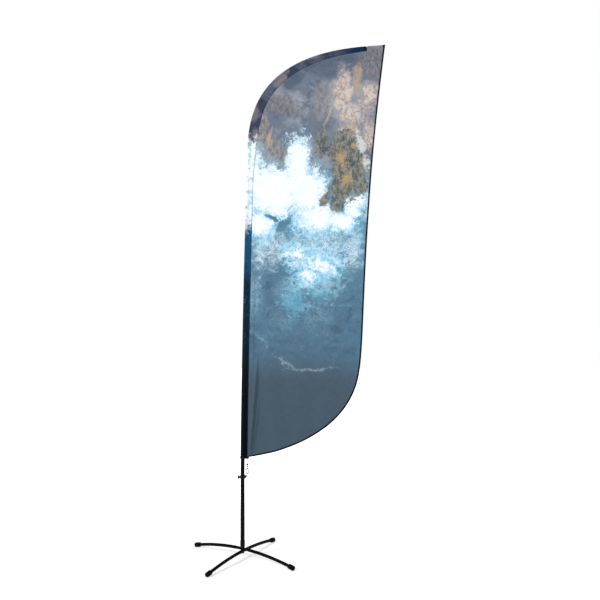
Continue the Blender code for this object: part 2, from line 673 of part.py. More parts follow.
# ---------------------------------------------------------------- hub
def make_hub():
    """Spindle, washers and nut: the fixed middle of the base."""
    spacer_z = ARM_LOWER_Z + ARM_FLAT_HALF_HEIGHT + GAP
    washer_top = ARM_LOWER_Z - ARM_FLAT_HALF_HEIGHT - GAP
    nut_top = washer_top - CLAMP_WASHER_T - GAP
    stud_end = nut_top - NUT_HEIGHT - STUD_BELOW_NUT
    shoulder_z = HUB_TOP_Z + GAP
    groove_r = SPINDLE_R - CLIP_GROOVE_DEPTH
    hole_r = STUD_R + GAP
    spindle = [
        (0.0, SPINDLE_TOP_Z), (SPINDLE_R - SPINDLE_CHAMFER, SPINDLE_TOP_Z),
        (SPINDLE_R, SPINDLE_TOP_Z - SPINDLE_CHAMFER),
        (SPINDLE_R, CLIP_Z + CLIP_T + GAP), (groove_r, CLIP_Z + CLIP_T + GAP),
        (groove_r, CLIP_Z - GAP), (SPINDLE_R, CLIP_Z - GAP),
        (SPINDLE_R, shoulder_z + SHOULDER_T), (SHOULDER_R, shoulder_z + SHOULDER_T),
        (SHOULDER_R, shoulder_z), (STUD_R, shoulder_z), (STUD_R, stud_end), (0.0, stud_end),
    ]
    place(turned("spindle", spindle, ZINC_STEEL), base_frame)
    rings = (
        ("arm_spacer", SPACER_R, hole_r, spacer_z, SPACER_T, WHITE_NYLON),
        ("clamp_washer", CLAMP_WASHER_R, hole_r, washer_top - CLAMP_WASHER_T, CLAMP_WASHER_T,
         ZINC_STEEL),
        ("thrust_washer", THRUST_R, SPINDLE_R + GAP, THRUST_Z, THRUST_T, WHITE_NYLON),
    )
    for name, outer, inner, low, height, mat in rings:
        profile = sleeve_profile(outer, inner, low, low + height)
        place(turned(name, profile, mat, ring=True), base_frame)
    nut_middle = (0.0, 0.0, nut_top - NUT_HEIGHT / 2)
    nut_r = NUT_ACROSS_CORNERS / 2
    nut = cylinder_tool("lock_nut", nut_r, NUT_HEIGHT, nut_middle, base_frame, sides=6)
    CUTTERS.objects.unlink(nut)
    PARTS.objects.link(nut)
    boolean(nut, cylinder_tool("nut_hole", hole_r, THROUGH, nut_middle, base_frame), "DIFFERENCE")
    clip_profile = sleeve_profile(CLIP_R, groove_r + GAP, CLIP_Z, CLIP_Z + CLIP_T)
    clip = place(turned("retaining_clip", clip_profile, ZINC_STEEL, ring=True), base_frame)
    mouth_size = (THROUGH, CLIP_MOUTH, THROUGH)
    mouth = box_tool("clip_mouth", mouth_size, (THROUGH / 2, 0.0, CLIP_Z), base_frame)
    boolean(clip, mouth, "DIFFERENCE")


def make_rotor():
    """The tube that turns on the spindle, on two flanged bushes."""
    bore = BUSH_R + GAP
    rotor = [
        (bore, ROTOR_TOP_Z), (ROTOR_R, ROTOR_TOP_Z), (ROTOR_R, ROTOR_Z + ROTOR_FLANGE_T),
        (ROTOR_FLANGE_R, ROTOR_Z + ROTOR_FLANGE_T), (ROTOR_FLANGE_R, ROTOR_Z), (bore, ROTOR_Z),
    ]
    place(turned("rotor_tube", rotor, ZINC_STEEL, ring=True), spin_frame)
    lower = [
        (BUSH_BORE_R, BUSH_Z + BUSH_LENGTH), (BUSH_R, BUSH_Z + BUSH_LENGTH),
        (BUSH_R, BUSH_Z + BUSH_FLANGE_T), (BUSH_FLANGE_R, BUSH_Z + BUSH_FLANGE_T),
        (BUSH_FLANGE_R, BUSH_Z), (BUSH_BORE_R, BUSH_Z),
    ]
    top = TOP_BUSH_Z + BUSH_FLANGE_T
    upper = [
        (BUSH_BORE_R, top), (BUSH_FLANGE_R, top), (BUSH_FLANGE_R, TOP_BUSH_Z),
        (BUSH_R, TOP_BUSH_Z), (BUSH_R, top - BUSH_LENGTH), (BUSH_BORE_R, top - BUSH_LENGTH),
    ]
    place(turned("bush_lower", lower, WHITE_NYLON, ring=True), spin_frame)
    place(turned("bush_upper", upper, WHITE_NYLON, ring=True), spin_frame)


make_hub()
make_rotor()


# ---------------------------------------------------------------- pole
def pole_section(name, start, end, foot_r, top_r, wall, mat, fine=LONG_STEP, sides=TUBE_SIDES):
    """One tube of the pole along the bowed line, tapering towards its top."""
    stops = stations(start, end, fine)
    points = [on_line(s) for s in stops]
    radii = [foot_r + (top_r - foot_r) * (s - start) / (end - start) for s in stops]
    return shade(place(bar(name, points, radii, mat, sides, wall), mast_frame))


def ferrule(name, joint, outer_r, inner_r):
    """A ring that finishes the top end of a section, round the next one."""
    start = joint + GAP
    stops = (start, start + FERRULE_HEIGHT)
    points = [on_line(s) for s in stops]
    wall = outer_r - inner_r
    ring = bar(name, points, [outer_r, outer_r], ZINC_STEEL, TUBE_SIDES, wall)
    return shade(place(ring, mast_frame))


def make_pole():
    """The four plug-in sections, their ferrules, the foot ring and the tip cap."""
    plugs = [joint - PLUG_LENGTH for joint in S_JOINTS]
    pole_section("pole_bottom", 0.0, S_JOINTS[0], BOTTOM_R, BOTTOM_R, BOTTOM_WALL, POLE_ALLOY)
    pole_section("pole_middle", plugs[0], S_JOINTS[1], MIDDLE_R, MIDDLE_TOP_R, MIDDLE_WALL, POLE_ALLOY)
    pole_section("pole_upper", plugs[1], S_JOINTS[2], UPPER_R, UPPER_TOP_R, UPPER_WALL, FIBREGLASS)
    tip_end = S_POLE_END - TIP_CAP_WALL - GAP
    pole_section("pole_tip", plugs[2], tip_end, TIP_R, TIP_END_R, None, FIBREGLASS, TIP_STEP, FINE_SIDES)
    ferrule("ferrule_lower", S_JOINTS[0], BOTTOM_R, MIDDLE_R + GAP)
    ferrule("ferrule_middle", S_JOINTS[1], MIDDLE_TOP_R, UPPER_R + GAP)
    ferrule("ferrule_upper", S_JOINTS[2], UPPER_TOP_R, TIP_R + GAP)
    ring_foot = MAST_FOOT_Z + GAP
    ring = sleeve_profile(FOOT_RING_R, BOTTOM_R + GAP, ring_foot, ring_foot + FOOT_RING_HEIGHT)
    place(turned("pole_foot_ring", ring, BLACK_PLASTIC, ring=True), mast_frame)
    bore_r = TIP_END_R + GAP + TIP_CAP_EASE
    cap_r = bore_r + TIP_CAP_WALL
    cap = [
        (0.0, 0.0), (cap_r - TIP_CAP_EDGE, 0.0), (cap_r, -TIP_CAP_EDGE), (cap_r, -TIP_CAP_LENGTH),
        (bore_r, -TIP_CAP_LENGTH), (bore_r, -TIP_CAP_WALL), (0.0, -TIP_CAP_WALL),
    ]
    _, (nx, nz) = LINE.at(S_POLE_END)
    heading = pi / 2 + atan(nx / nz)
    turned_cap = turned("tip_cap", cap, BLACK_PLASTIC, steps=FINE_SIDES)
    place(turned_cap, mast_frame, on_line(S_POLE_END), (0.0, heading, 0.0))


make_pole()


# ---------------------------------------------------------------- flag
def sleeve_radius(s):
    """Radius of the sleeve where it wraps the pole."""
    foot_r = BOTTOM_R + SLEEVE_EASE
    knots = [(S_SLEEVE, foot_r)]
    for joint, radius in zip(S_JOINTS, (BOTTOM_R, MIDDLE_TOP_R, UPPER_TOP_R)):
        knots.append((joint + FERRULE_HEIGHT + GAP, radius + SLEEVE_EASE))
    knots.append((S_SLEEVE_END, SLEEVE_END_R))
    return interpolate(s, knots)


def sleeve_width(s):
    """Distance from the luff edge to the sleeve's seam."""
    widest = LINE.at_height(KNEE_Z + SLEEVE_WIDE_ABOVE_KNEE)
    knots = ((S_SLEEVE, SLEEVE_WIDTH), (widest - SLEEVE_WIDEN_LENGTH, SLEEVE_WIDTH),
             (widest, SLEEVE_WIDE), (S_MID, SLEEVE_MID_WIDTH),
             (S_SLEEVE_END, SLEEVE_END_WIDTH))
    return interpolate(s, knots)


def drop_ring(s, radius, reach, nose):
    """A teardrop ring round the line: round at the luff, with straight flanks to the seam."""
    tangent = acos((radius - nose) / reach)
    ring = []
    for k in range(ARC_STEPS + 1):
        angle = tangent + 2 * (pi - tangent) * k / ARC_STEPS
        ring.append(on_line(s, radius * cos(angle), radius * sin(angle)))
    flank = (radius * cos(tangent), radius * sin(tangent))
    for side, share in ((-1, 0.5), (-1, 1.0), (1, 1.0), (1, 0.5)):
        across = flank[0] + (reach - flank[0]) * share
        ring.append(on_line(s, across, side * (flank[1] - (flank[1] - nose) * share)))
    return ring


def make_sleeve():
    """The sewn tube that the pole runs in, its cuff and its closed end."""
    stops = stations(S_SLEEVE, S_SLEEVE_END, SLEEVE_STEP)
    outer = []
    inner = []
    for s in stops:
        radius = sleeve_radius(s)
        reach = sleeve_width(s) - radius
        outer.append(drop_ring(s, radius, reach, SEAM_HALF))
        inner.append(drop_ring(s, radius - SLEEVE_WALL, reach - 3 * SLEEVE_WALL, SEAM_HALF / 2))
    place(loft("pole_sleeve", outer, inner, DARK_CLOTH), mast_frame)
    pocket = []
    for share in (0.0, 1.0):
        s = S_SLEEVE_END + GAP + POCKET_LENGTH * share
        radius = SLEEVE_END_R * (1 - POCKET_TAPER * share)
        reach = SLEEVE_END_WIDTH - SLEEVE_END_R
        pocket.append(drop_ring(s, radius, reach, SEAM_HALF))
    place(loft("tip_pocket", pocket, None, DARK_CLOTH), mast_frame)
    cuff_outer = []
    cuff_inner = []
    for z in (CUFF_FOOT_Z, SLEEVE_FOOT_Z - GAP):
        s = LINE.at_height(z)
        cuff_outer.append(drop_ring(s, CUFF_R, CUFF_WIDTH - CUFF_R, HEM_T))
        inner_reach = CUFF_WIDTH - CUFF_R - CUFF_SEAM
        cuff_inner.append(drop_ring(s, BOTTOM_R + CUFF_CLEAR, inner_reach, HEM_T / 2))
    place(loft("sleeve_cuff", cuff_outer, cuff_inner, DARK_CLOTH), mast_frame)


def offset_line(points, distance):
    """Points moved to the left of their direction of travel."""
    moved = []
    for k, (x, z) in enumerate(points):
        x0, z0 = points[max(k - 1, 0)]
        x1, z1 = points[min(k + 1, len(points) - 1)]
        length = hypot(x1 - x0, z1 - z0)
        moved.append((x - (z1 - z0) / length * distance, z + (x1 - x0) / length * distance))
    return moved


def fly_edge():
    """The flag's free edge, from the top corner down and back to the sleeve's foot."""
    fly = on_flag(FLY_SHAPE)
    foot = on_flag(FOOT_SHAPE)
    return bezier(*fly, 18) + bezier(*foot, 26) + [foot[-1]]


def make_panel():
    """The flat printed panel and the tape round its free edge."""
    edge = fly_edge()
    seam_end = LINE.at(S_SLEEVE)[0][0] + SLEEVE_WIDTH - sleeve_radius(S_SLEEVE)
    hem_start = LINE.at(S_SLEEVE)[0][0] + CUFF_WIDTH - CUFF_R + GAP
    outer = [p for p in edge if p[0] > hem_start + HEM_START_STEP]
    foot_z = outer[-1][1] - (outer[-1][0] - hem_start) * HEM_START_SLOPE
    outer.append((hem_start, foot_z))
    inner = offset_line(outer, -HEM_WIDTH)
    inner[0] = (inner[0][0], outer[0][1])
    inner[-1] = (hem_start, inner[-1][1])
    hang_flat(flat("edge_hem", [outer + inner[::-1]], HEM_T, DARK_CLOTH), mast_frame)
    cloth_edge = offset_line(outer, -HEM_WIDTH - GAP)
    cloth_edge[0] = (cloth_edge[0][0], outer[0][1] - GAP)
    cloth_edge[-1] = (seam_end + GAP, cloth_edge[-1][1])
    seam = []
    pocket_end = S_SLEEVE_END + 2 * GAP + POCKET_LENGTH
    for s in stations(S_SLEEVE, pocket_end, SLEEVE_STEP):
        across = sleeve_width(s) - sleeve_radius(s) + GAP
        x, _, z = on_line(s, across)
        seam.append((x, z))
    seam[0] = (seam[0][0], max(seam[0][1], cloth_edge[-1][1] + SEAM_START_LIFT))
    top = []
    for share in (0.0, 0.5):
        x, _, z = on_line(pocket_end + (LINE.total - pocket_end) * share, -SLEEVE_END_R)
        top.append((min(x, cloth_edge[0][0]), z))
    top = [p for p in top if p[0] < cloth_edge[0][0] - HEM_START_STEP]
    hang_flat(flat("flag_panel", [seam + top + cloth_edge], CLOTH, PRINTED_CLOTH), mast_frame)


make_sleeve()
make_panel()


# ---------------------------------------------------------------- tension collar
def make_collar():
    """A ring that slides on the pole, with a lug and a boss for the thumb screw."""
    bore_r = BOTTOM_R + GAP
    outer_r = bore_r + COLLAR_WALL
    top = COLLAR_Z + COLLAR_HEIGHT
    profile = sleeve_profile(outer_r, bore_r, COLLAR_Z, top)
    collar = place(turned("tension_collar", profile, BLACK_PLASTIC, 32, ring=True), collar_frame)
    root = outer_r - COLLAR_WALL / 2
    outline = [
        (root, top - LUG_TOP_DROP), (LUG_TIP_X - LUG_BEVEL, top - LUG_TOP_DROP),
        (LUG_TIP_X, LUG_EYE[1] + LUG_TOP_DROP), (LUG_TIP_X - LUG_BEVEL / 2, LUG_EYE[1] - LUG_BEVEL),
        (root, COLLAR_Z + LUG_FOOT_UP),
    ]
    lug = hang_flat(flat("lug_plate", [outline], LUG_T, BLACK_PLASTIC, CUTTERS), collar_frame)
    boolean(collar, lug, "UNION")
    boss_length = KNOB_BOSS_REACH - root
    boss_middle = (-(KNOB_BOSS_REACH + root) / 2, 0.0, KNOB_Z)
    along_x = (0.0, pi / 2, 0.0)
    along_y = (pi / 2, 0.0, 0.0)
    boss = cylinder_tool("screw_boss", KNOB_BOSS_R, boss_length, boss_middle, collar_frame, along_x)
    boolean(collar, boss, "UNION")
    screw_middle = (-KNOB_BOSS_REACH, 0.0, KNOB_Z)
    screw_hole = cylinder_tool(
        "screw_hole", SHANK_R + GAP, SCREW_HOLE_LENGTH, screw_middle, collar_frame, along_x
    )
    boolean(collar, screw_hole, "DIFFERENCE")
    eye_middle = (LUG_EYE[0], 0.0, LUG_EYE[1])
    eye_hole = cylinder_tool("lug_eye", LUG_EYE_R, THROUGH, eye_middle, collar_frame, along_y)
    boolean(collar, eye_hole, "DIFFERENCE")


def make_knob():
    """The thumb screw: a grooved knob and the shank that presses on the pole."""
    outer_face = -(KNOB_BOSS_REACH + GAP + KNOB_T)
    shape = bmesh.new()
    bmesh.ops.create_cone(
        shape, cap_ends=True, segments=24, radius1=KNOB_R, radius2=KNOB_R, depth=KNOB_T
    )
    around = sorted(shape.verts, key=lambda v: (v.co.z, v.co.xy.angle_signed(Vector((1.0, 0.0)))))
    for vert in around[1::2]:
        vert.co.x *= KNOB_GROOVE
        vert.co.y *= KNOB_GROOVE
    mesh = bpy.data.meshes.new("knob")
    shape.to_mesh(mesh)
    shape.free()
    knob = mesh_object("knob", mesh, BLACK_PLASTIC)
    place(knob, knob_frame, (outer_face + KNOB_T / 2, 0.0, 0.0), (0.0, pi / 2, 0.0))
    bore_end = -(KNOB_BOSS_REACH + GAP + SHANK_IN_KNOB + GAP)
    bore_middle = (bore_end + THROUGH / 2, 0.0, 0.0)
    along_x = (0.0, pi / 2, 0.0)
    bore = cylinder_tool("knob_bore", SHANK_R + GAP, THROUGH, bore_middle, knob_frame, along_x)
    boolean(knob, bore, "DIFFERENCE")
    shank_start = -(KNOB_BOSS_REACH + GAP + SHANK_IN_KNOB)
    shank_end = -(BOTTOM_R + GAP)
    ends = [(shank_start, 0.0, 0.0), (shank_end, 0.0, 0.0)]
    shank = bar("knob_shank", ends, [SHANK_R] * 2, ZINC_STEEL)
    shade(place(shank, knob_frame))


def make_hook():
    """A bent wire hook with an eye for the cord, and two cheeks that carry the gate."""
    wire = [
        (0.0, HOOK_HEIGHT), *HOOK_BACK, (0.0, 0.0), *HOOK_FRONT, (HOOK_TIP_OUT, HOOK_TIP_UP),
    ]
    points = []
    for k in range(len(wire) - 1):
        before = wire[max(k - 1, 0)]
        here, after = wire[k], wire[k + 1]
        beyond = wire[min(k + 2, len(wire) - 1)]
        leave = [here[i] + (after[i] - before[i]) / 6 for i in (0, 1)]
        reach = [after[i] - (beyond[i] - here[i]) / 6 for i in (0, 1)]
        points += bezier(here, leave, reach, after, 2)
    points.append(wire[-1])
    places = [(HOOK_X + x, 0.0, HOOK_Z + z) for x, z in points]
    hook = bar("snap_hook", places, [HOOK_WIRE_R] * len(places), ZINC_STEEL, FINE_SIDES)
    place(hook, collar_frame)
    bpy.ops.mesh.primitive_torus_add(
        major_radius=HOOK_EYE_R, minor_radius=HOOK_EYE_WIRE_R, major_segments=20, minor_segments=10
    )
    eye = bpy.context.object
    eye.name = "hook_eye"
    for group in list(eye.users_collection):
        group.objects.unlink(eye)
    CUTTERS.objects.link(eye)
    place(eye, collar_frame, (HOOK_X, 0.0, HOOK_EYE_Z), (0.0, pi / 2, 0.0))
    boolean(hook, eye, "UNION")
    pivot_x, pivot_z = GATE_PIVOT
    cheek_left = pivot_x - CHEEK_PAST_PIN
    cheek_right = HOOK_X + CHEEK_PAST_SHANK
    cheek_size = (cheek_right - cheek_left, 2 * CHEEK_HALF_WIDTH, CHEEK_HEIGHT)
    cheek_middle = ((cheek_left + cheek_right) / 2, 0.0, pivot_z + CHEEK_UP)
    boolean(hook, box_tool("hook_cheeks", cheek_size, cheek_middle, collar_frame), "UNION")
    slot_left = pivot_x - SLOT_PAST_PIN
    slot_right = HOOK_X - HOOK_WIRE_R + SLOT_BITE
    slot_size = (slot_right - slot_left, GATE_T + 2 * GAP, SLOT_HEIGHT)
    slot_middle = ((slot_left + slot_right) / 2, 0.0, pivot_z - SLOT_DROP)
    boolean(hook, box_tool("gate_slot", slot_size, slot_middle, collar_frame), "DIFFERENCE")
    pin_middle = (pivot_x, 0.0, pivot_z)
    along_y = (pi / 2, 0.0, 0.0)
    hole = cylinder_tool(
        "pin_hole", PIN_R + GAP, THROUGH, pin_middle, collar_frame, along_y, FINE_SIDES
    )
    boolean(hook, hole, "DIFFERENCE")
    half = CHEEK_HALF_WIDTH + GAP
    pin_ends = [(pivot_x, -half, pivot_z), (pivot_x, half, pivot_z)]
    shade(place(bar("gate_pin", pin_ends, [PIN_R] * 2, ZINC_STEEL, FINE_SIDES), collar_frame))


def make_gate():
    """The spring gate: a flat lever from the pin down to the hook's tip."""
    foot_x = HOOK_X + HOOK_TIP_OUT - GATE_PIVOT[0] + GATE_FOOT_OUT
    foot_z = HOOK_TIP_Z + GATE_FOOT_GAP - GATE_PIVOT[1]
    outline = [(foot_x - GATE_FOOT_HALF, foot_z), (foot_x + GATE_FOOT_HALF, foot_z)]
    outline.append((GATE_HUB_R, -GATE_HUB_DROP))
    for k in range(ARC_STEPS + 1):
        angle = pi * k / ARC_STEPS
        outline.append((GATE_HUB_R * cos(angle), GATE_HUB_R * sin(angle)))
    outline.append((-GATE_HUB_R, -GATE_HUB_DROP))
    bore_r = PIN_R + GAP
    turns = [2 * pi * k / FINE_SIDES for k in range(FINE_SIDES)]
    bore = [(bore_r * cos(turn), bore_r * sin(turn)) for turn in turns]
    hang_flat(flat("hook_gate", [outline, bore], GATE_T, ZINC_STEEL), gate_frame)


def make_ring_and_cord():
    """The ring in the lug's eye, the doubled cord and the crimp that closes its loop."""
    ring_top = Vector((HOOK_X, 0.0, HOOK_Z + HOOK_WIRE_R + GAP + RING_WIRE_R))
    rise = LUG_T ** 2 / 4 / (ring_top.z - LUG_EYE[1])
    ring_foot = Vector((LUG_EYE[0], 0.0, LUG_EYE[1] + LUG_EYE_R - GAP - RING_WIRE_R - rise))
    middle = (ring_top + ring_foot) / 2
    across = ring_top - ring_foot
    radius = across.length / 2
    bpy.ops.mesh.primitive_torus_add(
        major_radius=radius, minor_radius=RING_WIRE_R, major_segments=28, minor_segments=8
    )
    ring = bpy.context.object
    ring.name = "lug_ring"
    for group in list(ring.users_collection):
        group.objects.unlink(ring)
    PARTS.objects.link(ring)
    ring.data.materials.append(ZINC_STEEL)
    shade(ring)
    tilt = pi / 2 + atan(across.x / across.z)
    place(ring, collar_frame, middle, (0.0, tilt, 0.0))
    cuff_foot = on_line(LINE.at_height(CUFF_FOOT_Z), HOOK_X + CORD_SPREAD + CORD_R)
    cord_top = cuff_foot[2] - GAP
    turn_z = HOOK_EYE_Z + HOOK_EYE_R
    route = [(HOOK_X - CORD_SPREAD, 0.0, cord_top)]
    for k in range(13):
        angle = pi + pi * k / 12
        route.append((HOOK_X + CORD_SPREAD * cos(angle), 0.0, turn_z + CORD_SPREAD * sin(angle)))
    route.append((HOOK_X + CORD_SPREAD, 0.0, cord_top))
    cord = bar("elastic_cord", route, [CORD_R] * len(route), BLACK_CORD, FINE_SIDES)
    shade(place(cord, mast_frame))
    inner = stadium(CORD_SPREAD, CORD_R + GAP)
    outer = stadium(CORD_SPREAD, CORD_R + GAP + CRIMP_WALL)
    crimp = flat("cord_crimp", [outer, inner], CRIMP_HEIGHT, ZINC_STEEL)
    place(crimp, collar_frame, (HOOK_X, 0.0, CRIMP_Z + CRIMP_HEIGHT / 2))


def stadium(half_length, radius):
    """An outline with round ends, in the piece's own plane."""
    points = []
    for centre, start in ((half_length, -pi / 2), (-half_length, pi / 2)):
        for k in range(7):
            angle = start + pi * k / 6
            points.append((centre + radius * cos(angle), radius * sin(angle)))
    return points


make_collar()
make_knob()
make_hook()
make_gate()
make_ring_and_cord()
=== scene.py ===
"""Looks of the feather flag: cloth, cord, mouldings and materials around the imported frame.

Metres, +Z up. Every piece is built in the row frame. The flag's own coordinates are
X from the pole's axis at the floor and Z from the floor.
"""
from math import acos, atan, atan2, cos, hypot, pi, radians, sin

import bmesh
import bpy
import numpy as np
from mathutils import Matrix, Vector, noise


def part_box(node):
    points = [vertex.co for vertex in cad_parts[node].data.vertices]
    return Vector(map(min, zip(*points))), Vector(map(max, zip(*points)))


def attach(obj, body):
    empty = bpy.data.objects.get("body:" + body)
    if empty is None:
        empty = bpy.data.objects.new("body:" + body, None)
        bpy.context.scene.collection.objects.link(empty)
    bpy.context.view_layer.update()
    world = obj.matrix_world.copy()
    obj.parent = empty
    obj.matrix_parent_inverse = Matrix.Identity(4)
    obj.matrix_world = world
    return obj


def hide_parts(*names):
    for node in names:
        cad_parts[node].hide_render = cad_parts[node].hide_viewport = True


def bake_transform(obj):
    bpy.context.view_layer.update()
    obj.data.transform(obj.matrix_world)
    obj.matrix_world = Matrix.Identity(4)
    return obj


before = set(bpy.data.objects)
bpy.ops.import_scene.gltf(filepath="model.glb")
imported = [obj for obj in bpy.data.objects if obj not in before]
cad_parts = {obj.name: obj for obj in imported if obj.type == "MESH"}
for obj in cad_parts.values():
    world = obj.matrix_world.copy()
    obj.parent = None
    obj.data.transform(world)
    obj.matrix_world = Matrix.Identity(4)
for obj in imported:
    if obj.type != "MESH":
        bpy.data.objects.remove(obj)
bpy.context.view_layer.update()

# ---------------------------------------------------------------- places read from the frame
def middle_x(node):
    """Middle of a CAD node along X."""
    low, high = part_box(node)
    return (low.x + high.x) / 2


CUFF_BELOW_FLAG = 0.0095
MAST_X = middle_x("pole_foot_ring")
MAST_FOOT_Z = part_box("pole_bottom")[0].z
CUFF_FOOT_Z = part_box("sleeve_cuff")[0].z
FLAG_FOOT_Z = CUFF_FOOT_Z + CUFF_BELOW_FLAG
FLAG_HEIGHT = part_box("edge_hem")[1].z - FLAG_FOOT_Z
FLAG_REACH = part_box("edge_hem")[1].x - MAST_X
CORD_TOP_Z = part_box("elastic_cord")[1].z
CORD_FOOT_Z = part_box("elastic_cord")[0].z
CORD_X = middle_x("elastic_cord") - MAST_X

# ---------------------------------------------------------------- driving sizes shared with the CAD
GAP = 0.0003                      # play between two pieces that touch

ARM_UPPER_YAW = radians(-37.0)
ARM_SPREAD = radians(100.0)
ARM_REACH = 0.372
ARM_TUBE_R = 0.0095
ARM_FLAT_HALF_WIDTH = 0.0119
ARM_FLAT_HALF_HEIGHT = 0.00625
ARM_FLAT_FROM = 0.028
ARM_ROUND_FROM = 0.062
ARM_LOWER_Z = 0.0440
ARM_UPPER_Z = 0.0586
CAP_R = 0.0145
CAP_LENGTH = 0.038
CAP_BORE_DEPTH = 0.030
CAP_PAD_DEPTH = 0.0020
CAP_GROOVES = (0.0065, 0.0110, 0.0155)          # from the cap's mouth
CAP_GROOVE = ((0.0, 0.0), (0.0009, 0.0008), (0.0009, 0.0016), (0.0, 0.0024))
CAP_TIP = ((0.0, 0.0040), (0.0012, 0.0012), (0.0040, 0.0))
AXIS_R = 0.0003                   # a turned piece ends this near its axis
TUBE_END = ARM_REACH + CAP_BORE_DEPTH - GAP - CAP_LENGTH / 2
CAP_END_WALL = CAP_LENGTH - CAP_BORE_DEPTH
TUBE_END_STRAIGHT = CAP_BORE_DEPTH + 0.004

BOTTOM_R = 0.0122
BOTTOM_WALL = 0.0016
BOTTOM_TOP_Z = 0.80               # heights of the two lower pole joints
MIDDLE_TOP_Z = 1.62
UPPER_TOP_BELOW_KNEE = 0.10
JOINT_LENGTH = 0.0143             # from a joint to where the sleeve is narrower
MIDDLE_TOP_R = 0.0091
UPPER_TOP_R = 0.0061
FOOT_RING_R = 0.0140
FOOT_RING_HEIGHT = 0.030
FOOT_RING_GROOVE = (
    (0.0, 0.0), (0.0, 0.0050), (0.0005, 0.0056), (0.0005, 0.0064), (0.0, 0.0070),
    (0.0, FOOT_RING_HEIGHT - 0.0010), (0.0008, FOOT_RING_HEIGHT),
)
POLE_STRAIGHT_TOP = 0.53
POLE_LEAN = 0.012                 # slope of the bow where it leaves the plumb stretch
POLE_KNEE_X = 0.0385
POLE_KNEE_SLOPE = 0.0346
KNEE_SHARE = 0.759
BEND_HANDLE_LOW = 0.221
BEND_HANDLE_HIGH = (0.714, 0.992)
BEND_END = (0.9993, 0.9974)

# Outline curves and places, as shares of the flag's reach and height.
FLY_SHAPE = ((1.0, 1.0), (0.830, 0.548), (0.869, 0.291), (0.813, 0.195))
FOOT_SHAPE = ((0.813, 0.195), (0.722, 0.037), (0.150, 0.0026), (0.035, 0.0))
SLEEVE_FOOT_LIFT = 0.0040
SLEEVE_WIDTH = 0.0425
SLEEVE_WIDE = 0.060
SLEEVE_WIDE_ABOVE_KNEE = 0.060
SLEEVE_WIDEN_LENGTH = 0.260
SLEEVE_MID_WIDTH = 0.049
SLEEVE_MID_SHARE = 0.29
SLEEVE_END_WIDTH = 0.030
SLEEVE_END_BEFORE_CORNER = 0.125
SLEEVE_END_R = 0.0056
SLEEVE_EASE = 0.0015
POCKET_LENGTH = 0.012
CUFF_R = 0.0155
CUFF_WIDTH = 0.053
HEM_WIDTH = 0.0102
HEM_HALF = 0.0010                 # half the folded tape's thickness
CLOTH_HALF = 0.00025
NOSE = 0.0006                     # half the gap between the sleeve's sides at the seam
STITCH_PITCH = 0.0040
STITCH_LENGTH = 0.0026
THREAD_R = 0.00022

KNOB_Z = 0.4905
KNOB_BOSS_REACH = 0.0168
KNOB_R = 0.0112
KNOB_T = 0.0115
KNOB_BORE_R = 0.0028
KNOB_BORE_DEPTH = 0.0070
KNOB_LOBES = 7
KNOB_FACE = ((0.0, 0.0022), (0.0014, 0.0004), (0.0030, 0.0), (0.0042, 0.0002), (0.0048, 0.0016))
RING_WIRE_R = 0.0012
CORD_R = 0.0015
CORD_SPREAD = 0.0033              # from the cord's middle plane to each strand
CORD_IN_CUFF = 0.004              # how far the cord goes on inside the cuff
BRAID_PITCH = 0.0024
BRAID_STRANDS = 8
LOOP_WIDTH = 0.0009               # the knitted cloth's loops
LOOP_HEIGHT = 0.0007
TWILL_PITCH = 0.0012

KNEE_Z = FLAG_FOOT_Z + KNEE_SHARE * FLAG_HEIGHT
SLEEVE_FOOT_Z = FLAG_FOOT_Z + SLEEVE_FOOT_LIFT


# ---------------------------------------------------------------- shader arithmetic
class Num:
    """A number in a shader tree that takes plain arithmetic."""

    def __init__(self, paint, socket):
        self.paint = paint
        self.socket = socket

    def _math(self, operation, *terms):
        node = self.paint.node("Math")
        node.operation = operation
        for place, term in enumerate(terms):
            self.paint.feed(node.inputs[place], term)
        return Num(self.paint, node.outputs[0])

    def __add__(self, other):
        return self._math("ADD", self, other)

    def __sub__(self, other):
        return self._math("SUBTRACT", self, other)

    def __rsub__(self, other):
        return self._math("SUBTRACT", other, self)

    def __mul__(self, other):
        return self._math("MULTIPLY", self, other)

    __radd__ = __add__
    __rmul__ = __mul__

    def high(self, other):
        return self._math("MAXIMUM", self, other)

    def low(self, other):
        return self._math("MINIMUM", self, other)

    def sine(self):
        return self._math("SINE", self)

    def ridge(self):
        """Peaks at 1 where this number passes through its middle value of one half."""
        return 1.0 - self._math("ABSOLUTE", self * 2.0 - 1.0)

    def rise(self, start, end, low=0.0, high=1.0, easing="SMOOTHSTEP"):
        """Ease from low to high as this number goes from start to end."""
        if start > end:
            start, end, low, high = end, start, high, low
        node = self.paint.node("MapRange", Value=self)
        node.interpolation_type = easing
        for socket, value in (("From Min", start), ("From Max", end), ("To Min", low), ("To Max", high)):
            node.inputs[socket].default_value = value
        return Num(self.paint, node.outputs["Result"])


